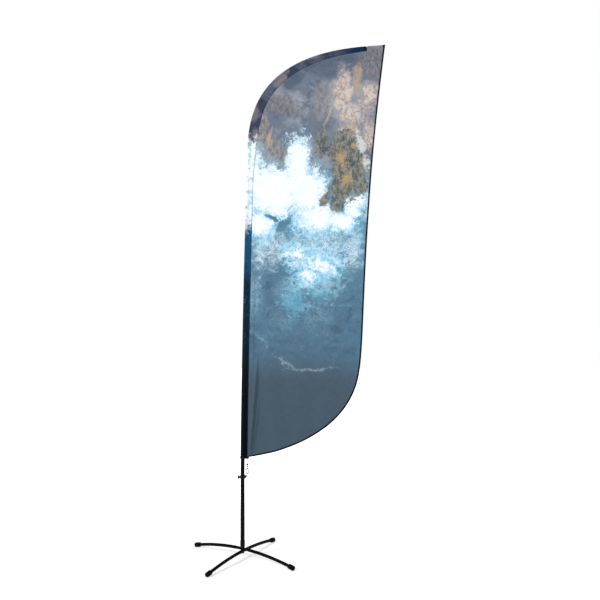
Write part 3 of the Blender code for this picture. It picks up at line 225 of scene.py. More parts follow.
class Paint:
    """One Principled material that is built up from patterns in the row frame."""

    def __init__(self, name, roughness=0.5, metallic=0.0, specular=0.5, **plain):
        self.material = bpy.data.materials.new(name)
        self.material.use_nodes = True
        self.nodes = self.material.node_tree.nodes
        self.links = self.material.node_tree.links
        self.shader = self.nodes["Principled BSDF"]
        self.shader.inputs["Roughness"].default_value = roughness
        self.shader.inputs["Metallic"].default_value = metallic
        self.shader.inputs["Specular IOR Level"].default_value = specular
        for socket, value in plain.items():
            self.shader.inputs[socket.replace("_", " ")].default_value = value
        self.place = self.nodes.new("ShaderNodeTexCoord").outputs["Object"]

    def node(self, kind, **inputs):
        """A new shader node with its sockets filled."""
        node = self.nodes.new("ShaderNode" + kind)
        for socket, value in inputs.items():
            self.feed(node.inputs[socket], value)
        return node

    def feed(self, socket, value):
        """Link or set one socket; a plain tuple is a colour of sRGB values up to 255."""
        if isinstance(value, Num):
            self.links.new(value.socket, socket)
        elif isinstance(value, bpy.types.NodeSocket):
            self.links.new(value, socket)
        elif isinstance(value, tuple):
            socket.default_value = linear(value)
        else:
            socket.default_value = value

    def axes(self):
        """The three coordinates as numbers, X from the pole's axis."""
        split = self.node("SeparateXYZ", Vector=self.place)
        x, y, z = (Num(self, split.outputs[k]) for k in range(3))
        return x - MAST_X, y, z

    def stretched(self, scale, turn=(0.0, 0.0, 0.0), place=None):
        """Coordinates scaled for a pattern that is longer one way."""
        place = place or self.place
        return self.node("Mapping", Vector=place, Scale=Vector(scale), Rotation=Vector(turn)).outputs[0]

    def attribute(self, name):
        """A number stored on the mesh's points."""
        node = self.node("Attribute")
        node.attribute_name = name
        return Num(self, node.outputs["Fac"])

    def noise_node(self, scale, detail, roughness, place):
        place = place or self.place
        return self.node("TexNoise", Vector=place, Scale=scale, Detail=detail, Roughness=roughness)

    def noise(self, scale, detail=3.0, roughness=0.55, place=None):
        """Smooth noise, its middle part drawn out to run from 0 to 1."""
        node = self.noise_node(scale, detail, roughness, place)
        return Num(self, node.outputs["Fac"]).rise(0.30, 0.70, easing="LINEAR")

    def streaked(self, scale, detail, roughness, along=1.0):
        """Noise stretched along Z; along is less than 1 for long streaks."""
        return self.noise(scale, detail, roughness, self.stretched((1.0, 1.0, along)))

    def warped(self, scale, amount, place=None, detail=3.0):
        """Coordinates pushed about by noise, so that outlines turn ragged."""
        place = place or self.place
        moved = self.noise_node(scale, detail, 0.6, place).outputs["Color"]
        steps = (("SUBTRACT", 1, Vector((0.5, 0.5, 0.5))), ("SCALE", "Scale", amount), ("ADD", 1, place))
        for operation, socket, value in steps:
            node = self.node("VectorMath")
            node.operation = operation
            self.feed(node.inputs[0], moved)
            self.feed(node.inputs[socket], value)
            moved = node.outputs[0]
        return moved

    def mix(self, below, above, factor):
        """One colour over another."""
        node = self.node("Mix")
        node.data_type = "RGBA"
        for place, value in ((0, factor), (6, below), (7, above)):
            self.feed(node.inputs[place], value)
        return node.outputs[2]

    def layers(self, colour, *coats):
        """A colour under any number of (colour, factor) coats."""
        for above, factor in coats:
            colour = self.mix(colour, above, factor)
        return colour

    def colour(self, value):
        self.feed(self.shader.inputs["Base Color"], value)

    def rough(self, value):
        self.feed(self.shader.inputs["Roughness"], value)

    def bump(self, height, depth):
        """Raise the surface by height, a number from 0 to 1, times depth in metres."""
        node = self.node("Bump", Strength=1.0, Distance=depth, Height=height)
        self.links.new(node.outputs[0], self.shader.inputs["Normal"])


def linear(colour):
    """sRGB values up to 255 as a linear colour with full alpha."""
    shares = [value / 255 for value in colour]
    curve = [s / 12.92 if s <= 0.04045 else ((s + 0.055) / 1.055) ** 2.4 for s in shares]
    return (*curve, 1.0)


# ---------------------------------------------------------------- hard materials
def coated(name, dark, pale, pattern, rough, grain, depth, specular, worn=None):
    """Two tones and a roughness that follow one pattern, over a fine grain, with worn places."""
    paint = Paint(name, specular=specular)
    flow = paint.streaked(*pattern)
    colour = paint.mix(dark, pale, flow)
    roughness = flow.rise(0.3, 0.7, *rough)
    if worn:
        tone, amount, places, dulling = worn
        wear = paint.streaked(*places).rise(0.72, 0.95)
        colour = paint.mix(colour, tone, wear * amount)
        roughness = roughness + wear * dulling
    paint.colour(colour)
    paint.rough(roughness)
    paint.bump(paint.streaked(*grain), depth)
    return paint.material


def rubber():
    """Moulded rubber, dusty where it stands on the floor."""
    paint = Paint("rubber_look", roughness=0.8, specular=0.08)
    _, _, z = paint.axes()
    grain = paint.noise(1500.0, 3.0, 0.7)
    dust = z.rise(0.010, 0.0) * paint.noise(140.0, 4.0, 0.7).rise(0.35, 0.75)
    paint.colour(paint.mix((12, 12, 12), (70, 67, 62), dust * 0.6))
    paint.rough(grain.rise(0.3, 0.7, 0.72, 0.9))
    paint.bump(grain, 0.00008)
    return paint.material


def steel(name, dark, pale, roughness, turning):
    """Plated steel; turning is how many tool lines there are to a metre along Z."""
    paint = Paint(name, roughness=roughness, metallic=1.0)
    _, _, z = paint.axes()
    stain = paint.noise(70.0, 5.0, 0.65)
    lines = (z * (turning * 2 * pi)).sine()
    spots = paint.noise(420.0, 3.0, 0.6).rise(0.6, 0.8)
    base = paint.mix(dark, pale, stain)
    paint.colour(paint.mix(base, (96, 94, 90), spots * 0.35))
    paint.rough(stain.rise(0.3, 0.7, roughness - 0.08, roughness + 0.1))
    paint.bump(lines * 0.5 + paint.noise(900.0, 2.0), 0.00002)
    return paint.material


def nylon():
    """White nylon of the bearings and washers."""
    paint = Paint("nylon_look", roughness=0.45, Subsurface_Weight=0.1)
    grease = paint.noise(120.0, 4.0, 0.6)
    paint.colour(paint.mix((224, 222, 212), (190, 184, 166), grease.rise(0.5, 0.8)))
    paint.rough(grease.rise(0.3, 0.7, 0.35, 0.55))
    paint.bump(paint.noise(1800.0, 2.0), 0.00003)
    return paint.material


def thread():
    """Twisted polyester sewing thread."""
    paint = Paint("thread_look", roughness=0.7, Sheen_Weight=0.3)
    x, _, z = paint.axes()
    twist = ((x + z) * 9000.0).sine()
    # painted shade of the twist: the colour follows the bump's height, darker in the grooves between plies
    paint.colour(paint.mix((16, 24, 38), (44, 56, 74), twist * 0.5 + 0.5))
    paint.bump(twist * 0.5 + 0.5, 0.00006)
    return paint.material


def braid():
    """Braided cover of the elastic cord, from the mesh's along and around numbers."""
    paint = Paint("braid_look", roughness=0.85, specular=0.1, Sheen_Weight=0.05)
    along = paint.attribute("along")
    around = paint.attribute("around")
    lay = along * (2 * pi / BRAID_PITCH)
    turn = around * (2 * pi * BRAID_STRANDS)
    strands = (lay + turn).sine().high((lay - turn).sine()) * 0.5 + 0.5
    fleck = paint.noise(800.0, 2.0).rise(0.62, 0.72)
    # painted shade: the colour follows the bump's strands, darker in the grooves between strands and lighter
    # on their crests
    dark = paint.mix((6, 6, 7), (26, 26, 28), strands)
    paint.colour(paint.mix(dark, (60, 62, 66), fleck * 0.3))
    paint.bump(strands, 0.00025)
    return paint.material


# ---------------------------------------------------------------- cloth and its print
def weave(paint):
    """Height of a knitted polyester, about one loop to a millimetre."""
    x, _, z = paint.axes()
    loops = (x * (2 * pi / LOOP_WIDTH)).sine() * (z * (2 * pi / LOOP_HEIGHT)).sine()
    return loops * 0.4 + 0.5


def finish_cloth(paint, colour, uneven):
    """Colour and weave that both printed pieces share; uneven is how far the dye varies."""
    dye = paint.noise(34.0, 5.0, 0.65)
    paint.colour(paint.mix(colour, (40, 46, 54), dye.rise(0.35, 0.8, 0.0, uneven)))
    paint.rough(dye.rise(0.3, 0.7, 0.70, 0.86))
    paint.bump(weave(paint), 0.00012)


# Oval patches of the print: X, Z, half width and half height in millimetres,
# and a turn in degrees.
PRINT = {
    "foam": (
        (335, 2395, 84, 180), (190, 2215, 205, 175), (370, 2220, 165, 170), (50, 2290, 85, 235),
        (445, 2060, 150, 110), (590, 2030, 100, 75), (680, 2130, 45, 100, 20), (110, 2010, 110, 90),
    ),
    "low_foam": ((450, 1780, 135, 85), (400, 1690, 70, 80, -20), (320, 1840, 80, 50)),
    "milk": (
        (420, 1900, 340, 150), (460, 1680, 180, 150), (120, 1900, 120, 130), (300, 1560, 110, 100),
        (690, 1900, 100, 200), (740, 2160, 70, 200),
    ),
    "lace": (
        (160, 1850, 150, 120), (650, 1840, 95, 150), (450, 1880, 220, 110), (470, 1620, 160, 90),
        (290, 1620, 100, 80), (440, 1450, 140, 120), (260, 1420, 140, 70), (400, 1135, 180, 20),
        (745, 2140, 50, 150), (70, 1560, 60, 170), (110, 1330, 30, 90, -42), (250, 1190, 30, 90, -50),
    ),
    "teal": ((465, 1880, 150, 60), (300, 1560, 80, 120, -10), (480, 1590, 90, 50)),
    "gap_in_foam": ((235, 1990, 30, 105, 38), (175, 2060, 60, 18, 20)),
    "olive_rock": (
        (650, 2430, 125, 200), (605, 2240, 80, 120), (680, 2280, 65, 105, -25), (480, 2500, 40, 85),
        (585, 2130, 60, 50), (500, 2160, 30, 60, 30),
    ),
    "headland": ((165, 2500, 50, 115, -32), (240, 2440, 22, 70), (120, 2620, 35, 110)),
    "pale_rock": (
        (600, 2820, 65, 160), (690, 2690, 130, 70), (775, 2780, 60, 110), (650, 2580, 90, 60),
        (780, 2560, 50, 120),
    ),
    "tan_rock": (
        (693, 2880, 40, 125), (515, 2660, 14, 115, 14), (156, 2530, 12, 90, 16), (660, 2620, 60, 25, 20),
    ),
    "brown_rock": ((800, 3000, 110, 110), (230, 2740, 130, 60, 20), (480, 2760, 50, 120, 20)),
    "ochre": (
        (600, 2415, 34, 62, -20), (635, 2290, 30, 40), (735, 2400, 18, 50), (560, 2330, 18, 30, 30),
        (665, 2480, 24, 28),
    ),
    "chalk": ((715, 2510, 36, 110, -8), (750, 2390, 22, 55)),
    "deep_top": ((580, 2975, 140, 70, -15), (420, 2990, 80, 40), (300, 2890, 80, 40, -40)),
    "streaks": (
        (105, 1325, 9, 75, -42), (255, 1180, 9, 85, -50), (410, 1132, 150, 10), (262, 1575, 50, 7),
        (300, 1475, 60, 5, -4), (95, 1690, 5, 60, 25), (190, 1740, 50, 6, 24), (140, 1480, 5, 50, 30),
    ),
}


def sea_print():
    """Surf breaking on a rocky shore over deep water, seen from above: a generic print."""
    paint = Paint("printed_cloth_look", roughness=0.80, specular=0.12, Sheen_Weight=0.04)
    x, _, z = paint.axes()
    broad = paint.warped(12.0, 0.090)
    ragged = paint.warped(60.0, 0.024, broad, 5.0)
    grit = paint.noise(150.0, 6.0, 0.75)
    fine = paint.noise(310.0, 5.0, 0.70)
    coarse = paint.noise(38.0, 6.0, 0.68, broad)
    swell = paint.noise(12.0, 5.0, 0.62, paint.stretched((1.0, 1.0, 1.7), place=broad))
    haze = paint.noise(4.5, 4.0, 0.55)

    # Water: slate at the foot, bluer and paler upwards, with grey shallows at the top.
    mottle = swell * 0.6 + coarse * 0.4
    deep = paint.attribute("deep_top").rise(-0.30, 0.35)
    slate = paint.layers(
        (104, 114, 130), ((142, 149, 160), haze.rise(0.35, 0.75)),
        ((80, 90, 108), mottle.rise(0.50, 0.78) * 0.8),
        ((156, 160, 166), coarse.rise(0.62, 0.85) * grit.rise(0.4, 0.7) * 0.6), ((72, 86, 104), deep * 0.7),
    )
    water = paint.layers(
        (67, 83, 97), ((77, 109, 131), z.rise(1.02, 1.34)), ((84, 122, 145), z.rise(1.36, 1.85) * 0.85),
        ((80, 120, 146), x.rise(0.55, 0.80) * z.rise(0.95, 1.30) * 0.6),
        ((56, 82, 104), mottle.rise(0.50, 0.80) * z.rise(1.05, 1.40) * 0.8),
        ((114, 156, 180), mottle.rise(0.46, 0.15) * z.rise(1.15, 1.50) * 0.5), (slate, z.rise(2.20, 2.44)),
    )

    # Rocks with slanting strata.
    strata = paint.noise(36.0, 8.0, 0.76, paint.stretched((1.7, 1.0, 0.8), (0.0, radians(35.0), 0.0)))
    cracks = paint.noise(15.0, 7.0, 0.68, ragged).ridge().rise(0.80, 1.0)
    pale = (paint.attribute("pale_rock") + (coarse - 0.5) * 0.7).rise(-0.15, 0.50)
    brown = (paint.attribute("brown_rock") + (coarse - 0.5) * 0.8).rise(-0.10, 0.35)
    tan = (paint.attribute("tan_rock") + (grit - 0.5) * 0.6).rise(0.0, 0.50)
    pale_tone = paint.layers(
        (158, 155, 161), ((204, 189, 179), haze.rise(0.25, 0.75)),
        ((108, 102, 104), strata.rise(0.50, 0.95) * 0.75),
        ((224, 216, 208), grit.rise(0.60, 0.90) * 0.5), ((92, 88, 92), cracks * 0.6),
    )
    brown_tone = paint.mix((86, 82, 88), (150, 142, 140), strata.rise(0.15, 0.85))
    shore = paint.layers(
        water, (pale_tone, pale * 0.95), (brown_tone, brown * 0.6),
        ((176, 156, 132), tan * strata.rise(0.10, 0.70, 0.30, 0.85)),
    )

    # Milky water, and foam that thins downwards over a cyan rim.
    milk = (paint.attribute("milk") + (coarse - 0.5) * 1.1 + (swell - 0.5) * 0.8).rise(-0.05, 0.85)
    teal = (paint.attribute("teal") + (swell - 0.5) * 0.5).rise(-0.20, 0.55)
    gap = paint.attribute("gap_in_foam").high(0.0) * 1.6
    rough = (coarse - 0.5) * 0.70 + (grit - 0.5) * 0.60 + (fine - 0.5) * 0.35
    low_foam = paint.attribute("low_foam") + 0.05 + rough * 1.3
    foam = (paint.attribute("foam") + rough - gap).high(low_foam)
    froth = foam.rise(-0.05, 0.17)
    bare = 1.0 - froth
    thin = z.rise(2.00, 1.84)
    thick = (foam + (swell - 0.5) * 0.6 + z.rise(1.85, 2.25) * 0.22 - thin * 0.16).rise(0.05, 0.75)
    foam_tone = paint.layers(
        (160, 204, 228), ((238, 244, 249), thick),
        ((178, 212, 232), fine.rise(0.42, 0.85) * coarse.rise(0.25, 0.75) * 0.75),
        ((104, 168, 196), coarse.rise(0.52, 0.30) * grit.rise(0.35, 0.65) * thin * 0.8),
    )
    holes = grit.rise(0.52, 0.90) * z.rise(1.20, 1.50) * z.rise(2.12, 1.90)

    # Lace of foam threads, streaks and fine spray on the open water.
    threads = paint.noise(21.0, 8.0, 0.72, ragged).ridge().rise(0.80, 1.0)
    wisps = paint.noise(60.0, 7.0, 0.75, ragged).ridge().rise(0.74, 1.0)
    zone = (paint.attribute("lace") + (swell - 0.5) * 0.7).rise(-0.20, 0.80)
    lace = threads.high(wisps * coarse.rise(0.30, 0.70) * 0.9) * z.rise(1.22, 1.60)
    lace = lace.high(grit.rise(0.62, 0.92) * 0.9).high(fine.rise(0.68, 0.92) * 0.8) * zone
    streaks = paint.attribute("streaks").rise(-0.3, 0.6) * fine.rise(0.35, 0.68) * grit.rise(0.20, 0.55)
    strength = z.rise(1.35, 1.85) * 0.45 + 0.42
    spray = paint.mix((150, 196, 214), (222, 238, 246), z.rise(1.55, 1.85).high(z.rise(1.38, 1.25)))
    band = z.rise(1.02, 1.30) * z.rise(2.10, 1.60) * x.rise(0.78, 0.60)
    sprinkle = fine.rise(0.60, 0.90) * coarse.rise(0.45, 0.75) * band
    sea = paint.layers(
        shore, ((140, 184, 208), milk * 0.80), ((64, 150, 180), teal * coarse.rise(0.20, 0.60) * 0.75),
        ((122, 188, 216), foam.rise(-0.42, 0.05) * z.rise(2.42, 2.10, 0.12, 0.80)), (foam_tone, froth),
        ((62, 96, 120), holes * bare * 0.6), (spray, lace.high(streaks).low(1.0) * bare * strength),
        ((158, 198, 214), sprinkle * bare * 0.6),
    )

    # The dark rocks stand over the foam.
    olive = (paint.attribute("olive_rock") + (coarse - 0.5) * 0.9 + (grit - 0.5) * 0.5).rise(0.0, 0.14)
    ochre = (paint.attribute("ochre") + (grit - 0.5) * 1.4).rise(-0.10, 0.60) * fine.rise(0.15, 0.55)
    chalk = (paint.attribute("chalk") + (coarse - 0.5) * 1.0).rise(-0.10, 0.50)
    headland = (paint.attribute("headland") + (coarse - 0.5) * 0.8).rise(-0.05, 0.25)
    olive_tone = paint.layers(
        (66, 72, 70), ((146, 144, 134), strata.rise(0.15, 0.85)),
        ((66, 78, 86), swell.rise(0.52, 0.80) * 0.8), ((170, 168, 160), grit.rise(0.62, 0.90) * 0.7),
        ((188, 160, 108), ochre * 0.85), ((206, 210, 212), chalk * 0.9),
    )
    head_tone = paint.mix((92, 94, 104), (158, 152, 148), strata.rise(0.15, 0.85))
    land = paint.layers(
        sea, (head_tone, headland * 0.85), ((178, 156, 124), tan * headland * 0.8),
        (olive_tone, olive * 0.95),
    )
    finish_cloth(paint, land, 0.05)
    return paint.material


SLEEVE_PRINT = {
    "sleeve_rock": ((230, 2880, 50, 50), (110, 2560, 50, 40), (420, 3030, 60, 30), (60, 2700, 40, 60)),
    "sleeve_spots": ((5, 2335, 30, 28), (10, 2205, 22, 30), (12, 2110, 18, 24)),
}


def sleeve_print():
    """The same sea seen darker on the sleeve: slate, surf, deep blue, then navy to black, with painted shade
    along the seam and round the pole.
    """
    paint = Paint("sleeve_cloth_look", roughness=0.85, specular=0.06, Sheen_Weight=0.02)
    x, _, z = paint.axes()
    grit = paint.noise(120.0, 6.0, 0.72)
    coarse = paint.noise(30.0, 6.0, 0.68)
    haze = paint.noise(6.0, 4.0, 0.6)
    height = z + (coarse - 0.5) * 0.12
    rock = (paint.attribute("sleeve_rock") + (coarse - 0.5) * 0.8).rise(-0.3, 0.4)
    spots = (paint.attribute("sleeve_spots") + (grit - 0.5) * 0.6).rise(-0.1, 0.5)
    surf = height.rise(1.96, 2.04) * height.rise(2.56, 2.48)
    seam = paint.attribute("seam")
    slate = paint.layers(
        (52, 62, 80), ((84, 94, 110), haze.rise(0.35, 0.65)), ((14, 36, 62), x.rise(0.45, 0.70)),
        ((126, 116, 122), rock * 0.85),
    )
    surf_tone = paint.layers(
        (238, 245, 250), ((158, 202, 226), coarse.rise(0.40, 0.85)),
        ((120, 168, 192), grit.rise(0.55, 0.85) * z.rise(2.30, 2.00) * 0.7), ((40, 134, 166), spots * 0.9),
    )
    colour = paint.layers(
        (2, 7, 15), ((10, 34, 54), z.rise(0.95, 1.60)), ((22, 72, 104), height.rise(1.62, 1.80)),
        ((62, 112, 142), grit.rise(0.55, 0.85) * z.rise(1.1, 1.6) * haze.rise(0.3, 0.6) * 0.7),
        (slate, z.rise(2.20, 2.30)), (surf_tone, surf),
        # painted shade: a dark line along the seam where the folded seam allowance throws shadow, and a
        # faint shade over the half of the sleeve that wraps round the pole
        ((30, 44, 60), seam.rise(0.86, 0.93) * 0.45 + seam.rise(0.62, 0.30) * 0.10),
    )
    finish_cloth(paint, colour, 0.04)
    return paint.material


def tape():
    """Dark hem tape with a fine twill."""
    paint = Paint("hem_tape_look", roughness=0.8, specular=0.06, Sheen_Weight=0.02)
    x, y, z = paint.axes()
    twill = ((x + z + y) * (2 * pi / TWILL_PITCH)).sine() * 0.5 + 0.5
    tone = paint.noise(40.0, 4.0)
    base = paint.mix((4, 9, 17), (11, 21, 34), tone)
    # painted light and shade of the twill: the raised lines that the bump draws are painted lighter, the
    # grooves darker
    paint.colour(paint.mix(base, (26, 38, 54), twill * 0.2))
    paint.rough(tone.rise(0.3, 0.7, 0.68, 0.82))
    paint.bump(twill, 0.00012)
    return paint.material


# Patterns: scale, detail, roughness and the stretch along Z.
DRAWN = (900.0, 1.0, 0.5, 0.006)
FIBRES = (1400.0, 3.0, 0.7, 0.006)
# Moulded plastic's flow, roughness, grain, grain depth and specular level.
MOULDED = ((45.0, 4.0, 0.6, 0.35), (0.42, 0.58), (2400.0, 2.0, 0.6), 0.00005, 0.10)
LOOKS = {
    "black_steel": steel("black_steel_look", (20, 20, 22), (36, 36, 39), 0.40, 3000.0),
    "powder": coated(
        "powder_coat_look", (5, 5, 6), (11, 11, 12), (9.0, 3.0, 0.55), (0.42, 0.58), (620.0, 2.0, 0.55),
        0.00002, 0.05, worn=((36, 36, 38), 0.4, (60.0, 4.0, 0.7, 0.2), 0.15),
    ),
    "rubber": rubber(),
    "plastic": coated("plastic_look", (9, 9, 10), (18, 18, 20), *MOULDED),
    "knob_plastic": coated("knob_plastic_look", (26, 26, 28), (46, 46, 49), *MOULDED),
    "zinc": steel("zinc_look", (150, 152, 156), (196, 198, 200), 0.32, 3000.0),
    "gunmetal": steel("gunmetal_look", (16, 16, 18), (34, 34, 37), 0.42, 0.0),
    "anodised": coated(
        "anodised_look", (4, 4, 5), (10, 10, 11), DRAWN, (0.38, 0.52), DRAWN, 0.000002, 0.05,
        worn=((32, 32, 35), 0.3, (35.0, 4.0, 0.6, 0.15), 0.0),
    ),
    "fibreglass": coated(
        "fibreglass_look", (16, 16, 18), (44, 44, 46), FIBRES, (0.32, 0.5), FIBRES, 0.00003, 0.2,
    ),
    "nylon": nylon(),
    "thread": thread(),
    "braid": braid(),
    "print": sea_print(),
    "sleeve": sleeve_print(),
    "tape": tape(),
}


# ---------------------------------------------------------------- mesh helpers
def build(name, points, faces, look, body, smooth=40.0):
    """A mesh piece in the row frame that rides on a body."""
    mesh = bpy.data.meshes.new(name)
    mesh.from_pydata([tuple(map(float, p)) for p in points], [], faces)
    mesh.materials.append(LOOKS[look])
    work = bmesh.new()
    work.from_mesh(mesh)
    bmesh.ops.recalc_face_normals(work, faces=work.faces)
    work.to_mesh(mesh)
    work.free()
    mesh.shade_smooth()
    mesh.set_sharp_from_angle(angle=radians(smooth))
    item = bpy.data.objects.new(name, mesh)
    bpy.context.scene.collection.objects.link(item)
    if body:
        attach(item, body)
    return item


def skin(rings, wrap=True, ends=True, close=False):
    """Points and faces of a surface through rings of points; close joins last to first."""
    rings = np.asarray(rings, float)
    count, around = rings.shape[:2]
    faces = []
    for i in range(count if close else count - 1):
        n = (i + 1) % count
        for k in range(around if wrap else around - 1):
            m = (k + 1) % around
            faces.append((i * around + k, i * around + m, n * around + m, n * around + k))
    if ends and not close:
        faces.append(tuple(range(around)))
        faces.append(tuple(range((count - 1) * around, count * around)))
    return rings.reshape(-1, 3), faces


def moved(points, matrix):
    """Points put in place by a matrix."""
    turn = np.array(matrix.to_3x3(), float)
    return points @ turn.T + np.array(matrix.translation, float)


def fillet(outline, radius, steps=4):
    """An open outline whose inner corners are rounded."""
    rounded = [outline[0]]
    for before, corner, after in zip(outline, outline[1:], outline[2:]):
        a, c, b = Vector(before), Vector(corner), Vector(after)
        into, out = a - c, b - c
        reach = min(radius, into.length * 0.45, out.length * 0.45)
        start, end = c + into.normalized() * reach, c + out.normalized() * reach
        for k in range(steps + 1):
            t = k / steps
            rounded.append(tuple((1 - t) ** 2 * start + 2 * t * (1 - t) * c + t * t * end))
    rounded.append(outline[-1])
    return rounded


def lathe(name, profile, look, body, matrix, steps=64, ring=False, wobble=None):
    """A turned piece; wobble(angle, radius) may change the radius round the axis."""
    rings = []
    for radius, height in profile:
        turns = [2 * pi * k / steps for k in range(steps)]
        radii = [wobble(t, radius) if wobble else radius for t in turns]
        rings.append([(r * cos(t), r * sin(t), height) for r, t in zip(radii, turns)])
    points, faces = skin(rings, close=ring)
    return build(name, moved(points, matrix), faces, look, body)


def run_along(points):
    """Length from the first point to each point of a line."""
    return np.concatenate([[0.0], np.cumsum(np.hypot(*np.diff(points, axis=0).T))])


def rightward(points):
    """Unit normals of a line in the XZ plane, to the right of its direction of travel."""
    tangent = np.gradient(points, axis=0)
    tangent /= np.linalg.norm(tangent, axis=1)[:, None]
    return np.stack([tangent[:, 1], -tangent[:, 0]], 1)


def sweep(path, radius, sides):
    """Rings of one radius round a path of (x, z) points in the XZ plane."""
    normal = rightward(path)
    turns = 2 * pi * np.arange(sides) / sides
    out = radius * np.cos(turns)
    rings = np.zeros((len(path), sides, 3))
    rings[:, :, 0] = path[:, :1] + normal[:, :1] * out
    rings[:, :, 1] = radius * np.sin(turns)
    rings[:, :, 2] = path[:, 1:] + normal[:, 1:] * out
    return rings


def at_mast(yaw=0.0):
    """A matrix on the pole's axis at the floor."""
    return Matrix.Translation((MAST_X, 0.0, 0.0)) @ Matrix.Rotation(yaw, 4, "Z")


def mark(item, name, values):
    """Store one number on each of a mesh's points."""
    layer = item.data.attributes.new(name, "FLOAT", "POINT")
    layer.data.foreach_set("value", np.asarray(values, np.float32).ravel())


def smooth_step(t):
    t = np.clip(t, 0.0, 1.0)
    return t * t * (3 - 2 * t)


# ---------------------------------------------------------------- the pole's line
def bezier(p0, p1, p2, p3, count):
    """Points on a cubic curve, its end left out."""
    t = (np.arange(count) / count)[:, None]
    u = 1 - t
    weights = (u ** 3, 3 * u * u * t, 3 * u * t * t, t ** 3)
    return sum(w * np.array(p, float) for w, p in zip(weights, (p0, p1, p2, p3)))


def on_flag(shape):
    """Shares of the flag's reach and height as places."""
    return [(u * FLAG_REACH, FLAG_FOOT_Z + v * FLAG_HEIGHT) for u, v in shape]


def pole_line():
    """The bowed line from the pole's foot to the flag's top corner."""
    knee = (POLE_KNEE_X, KNEE_Z)
    third = (KNEE_Z - POLE_STRAIGHT_TOP) / 3
    bow_low = (POLE_LEAN * third, POLE_STRAIGHT_TOP + third)
    bow_high = (POLE_KNEE_X - POLE_KNEE_SLOPE * third, KNEE_Z - third)
    handle = BEND_HANDLE_LOW * FLAG_HEIGHT
    bend_low = (POLE_KNEE_X + POLE_KNEE_SLOPE * handle, KNEE_Z + handle)
    bend_high, corner = on_flag((BEND_HANDLE_HIGH, BEND_END))
    bow = bezier((0.0, POLE_STRAIGHT_TOP), bow_low, bow_high, knee, 300)
    bend = bezier(knee, bend_low, bend_high, corner, 600)
    return np.vstack([[(0.0, MAST_FOOT_Z)], bow, bend, [corner]])


LINE = pole_line()
RUN = run_along(LINE)


def line_at(s):
    """Points of the line, and unit normals towards the flag, at lengths s."""
    s = np.atleast_1d(s)
    points = np.stack([np.interp(s, RUN, LINE[:, k]) for k in (0, 1)], 1)
    tangent = np.stack(
        [np.interp(s + 0.004, RUN, LINE[:, k]) - np.interp(s - 0.004, RUN, LINE[:, k]) for k in (0, 1)], 1,
    )
    tangent /= np.linalg.norm(tangent, axis=1)[:, None]
    return points, np.stack([tangent[:, 1], -tangent[:, 0]], 1)


def at_height(z):
    return float(np.interp(z, LINE[:, 1], RUN))


def at_reach(x):
    return float(RUN[np.argmax(LINE[:, 0] >= x)])


S_SLEEVE = at_height(SLEEVE_FOOT_Z)
S_SLEEVE_END = at_reach(FLAG_REACH - SLEEVE_END_BEFORE_CORNER)
S_MID = at_reach(SLEEVE_MID_SHARE * FLAG_REACH)
S_KNEE = at_height(KNEE_Z)


def sleeve_radius(s):
    """Radius of the sleeve round the pole."""
    joints = [at_height(z) for z in (BOTTOM_TOP_Z, MIDDLE_TOP_Z, KNEE_Z - UPPER_TOP_BELOW_KNEE)]
    radii = (BOTTOM_R, BOTTOM_R, MIDDLE_TOP_R, UPPER_TOP_R)
    places = [S_SLEEVE] + [joint + JOINT_LENGTH for joint in joints] + [S_SLEEVE_END]
    sizes = [radius + SLEEVE_EASE for radius in radii] + [SLEEVE_END_R]
    return np.interp(s, places, sizes)


def sleeve_width(s):
    """Distance from the luff edge to the seam."""
    widest = at_height(KNEE_Z + SLEEVE_WIDE_ABOVE_KNEE)
    places = [S_SLEEVE, widest - SLEEVE_WIDEN_LENGTH, widest, S_MID, S_SLEEVE_END]
    sizes = [SLEEVE_WIDTH, SLEEVE_WIDTH, SLEEVE_WIDE, SLEEVE_MID_WIDTH, SLEEVE_END_WIDTH]
    return np.interp(s, places, sizes)


def wrinkle(x, z, size, seed):
    """Smooth noise between -1 and 1 for each point."""
    return np.array([noise.noise(Vector((a / size, seed, b / size))) for a, b in zip(x, z)])


# ---------------------------------------------------------------- cloth
# Sharp creases beside the sleeve: top, foot, width and depth.
CREASES = (
    ((0.0950, 1.26), (0.0440, 0.64), 0.0042, 0.0160),
    ((0.1050, 1.00), (0.0600, 0.64), 0.0055, 0.0070),
    ((0.0700, 1.75), (0.0620, 1.20), 0.0050, 0.0050),
)
# Depths of the wind's fill, the folds by the seam, the slow rolls, the puckers and the unevenness.
FILL, FOLDS, ROLLS, PUCKERS, UNEVEN = 0.016, 0.0045, 0.0050, 0.0012, 0.0035
ROUND_STEPS = 22                  # faces round the pole and along each side of the sleeve
FLANK_STEPS = 9


def belly(x, z):
    """How far the cloth stands out of the flag's plane at flat places."""
    seam = np.interp(z, SEAM[:, 1], SEAM[:, 0])
    inward = np.maximum(x - seam, 0.0)
    free = smooth_step(inward / 0.10)
    up = (z - FLAG_FOOT_Z) / FLAG_HEIGHT
    fill = FILL * np.sin(pi * np.clip(up, 0, 1)) * np.sin(pi * np.clip(inward / 0.80, 0, 1))
    folds = FOLDS * np.sin(2 * pi * (x + 0.10 * z) / 0.165 + 0.6) * np.exp(-inward / 0.33)
    folds *= smooth_step((1.9 - z) / 1.0)
    roll = ROLLS * np.sin(2 * pi * (0.45 * x + z) / 0.92 + 0.8) * free
    puckers = PUCKERS * wrinkle(x, z, 0.060, 3.0) * np.exp(-inward / 0.05)
    soft = UNEVEN * wrinkle(x, z * 0.45, 0.16, 7.0) * free
    creases = sum(fold_line(x, z, *crease) for crease in CREASES)
    near_seam = smooth_step(inward / 0.012)
    return (fill + roll + soft) * smooth_step(inward / 0.25) + (folds + puckers + creases) * near_seam


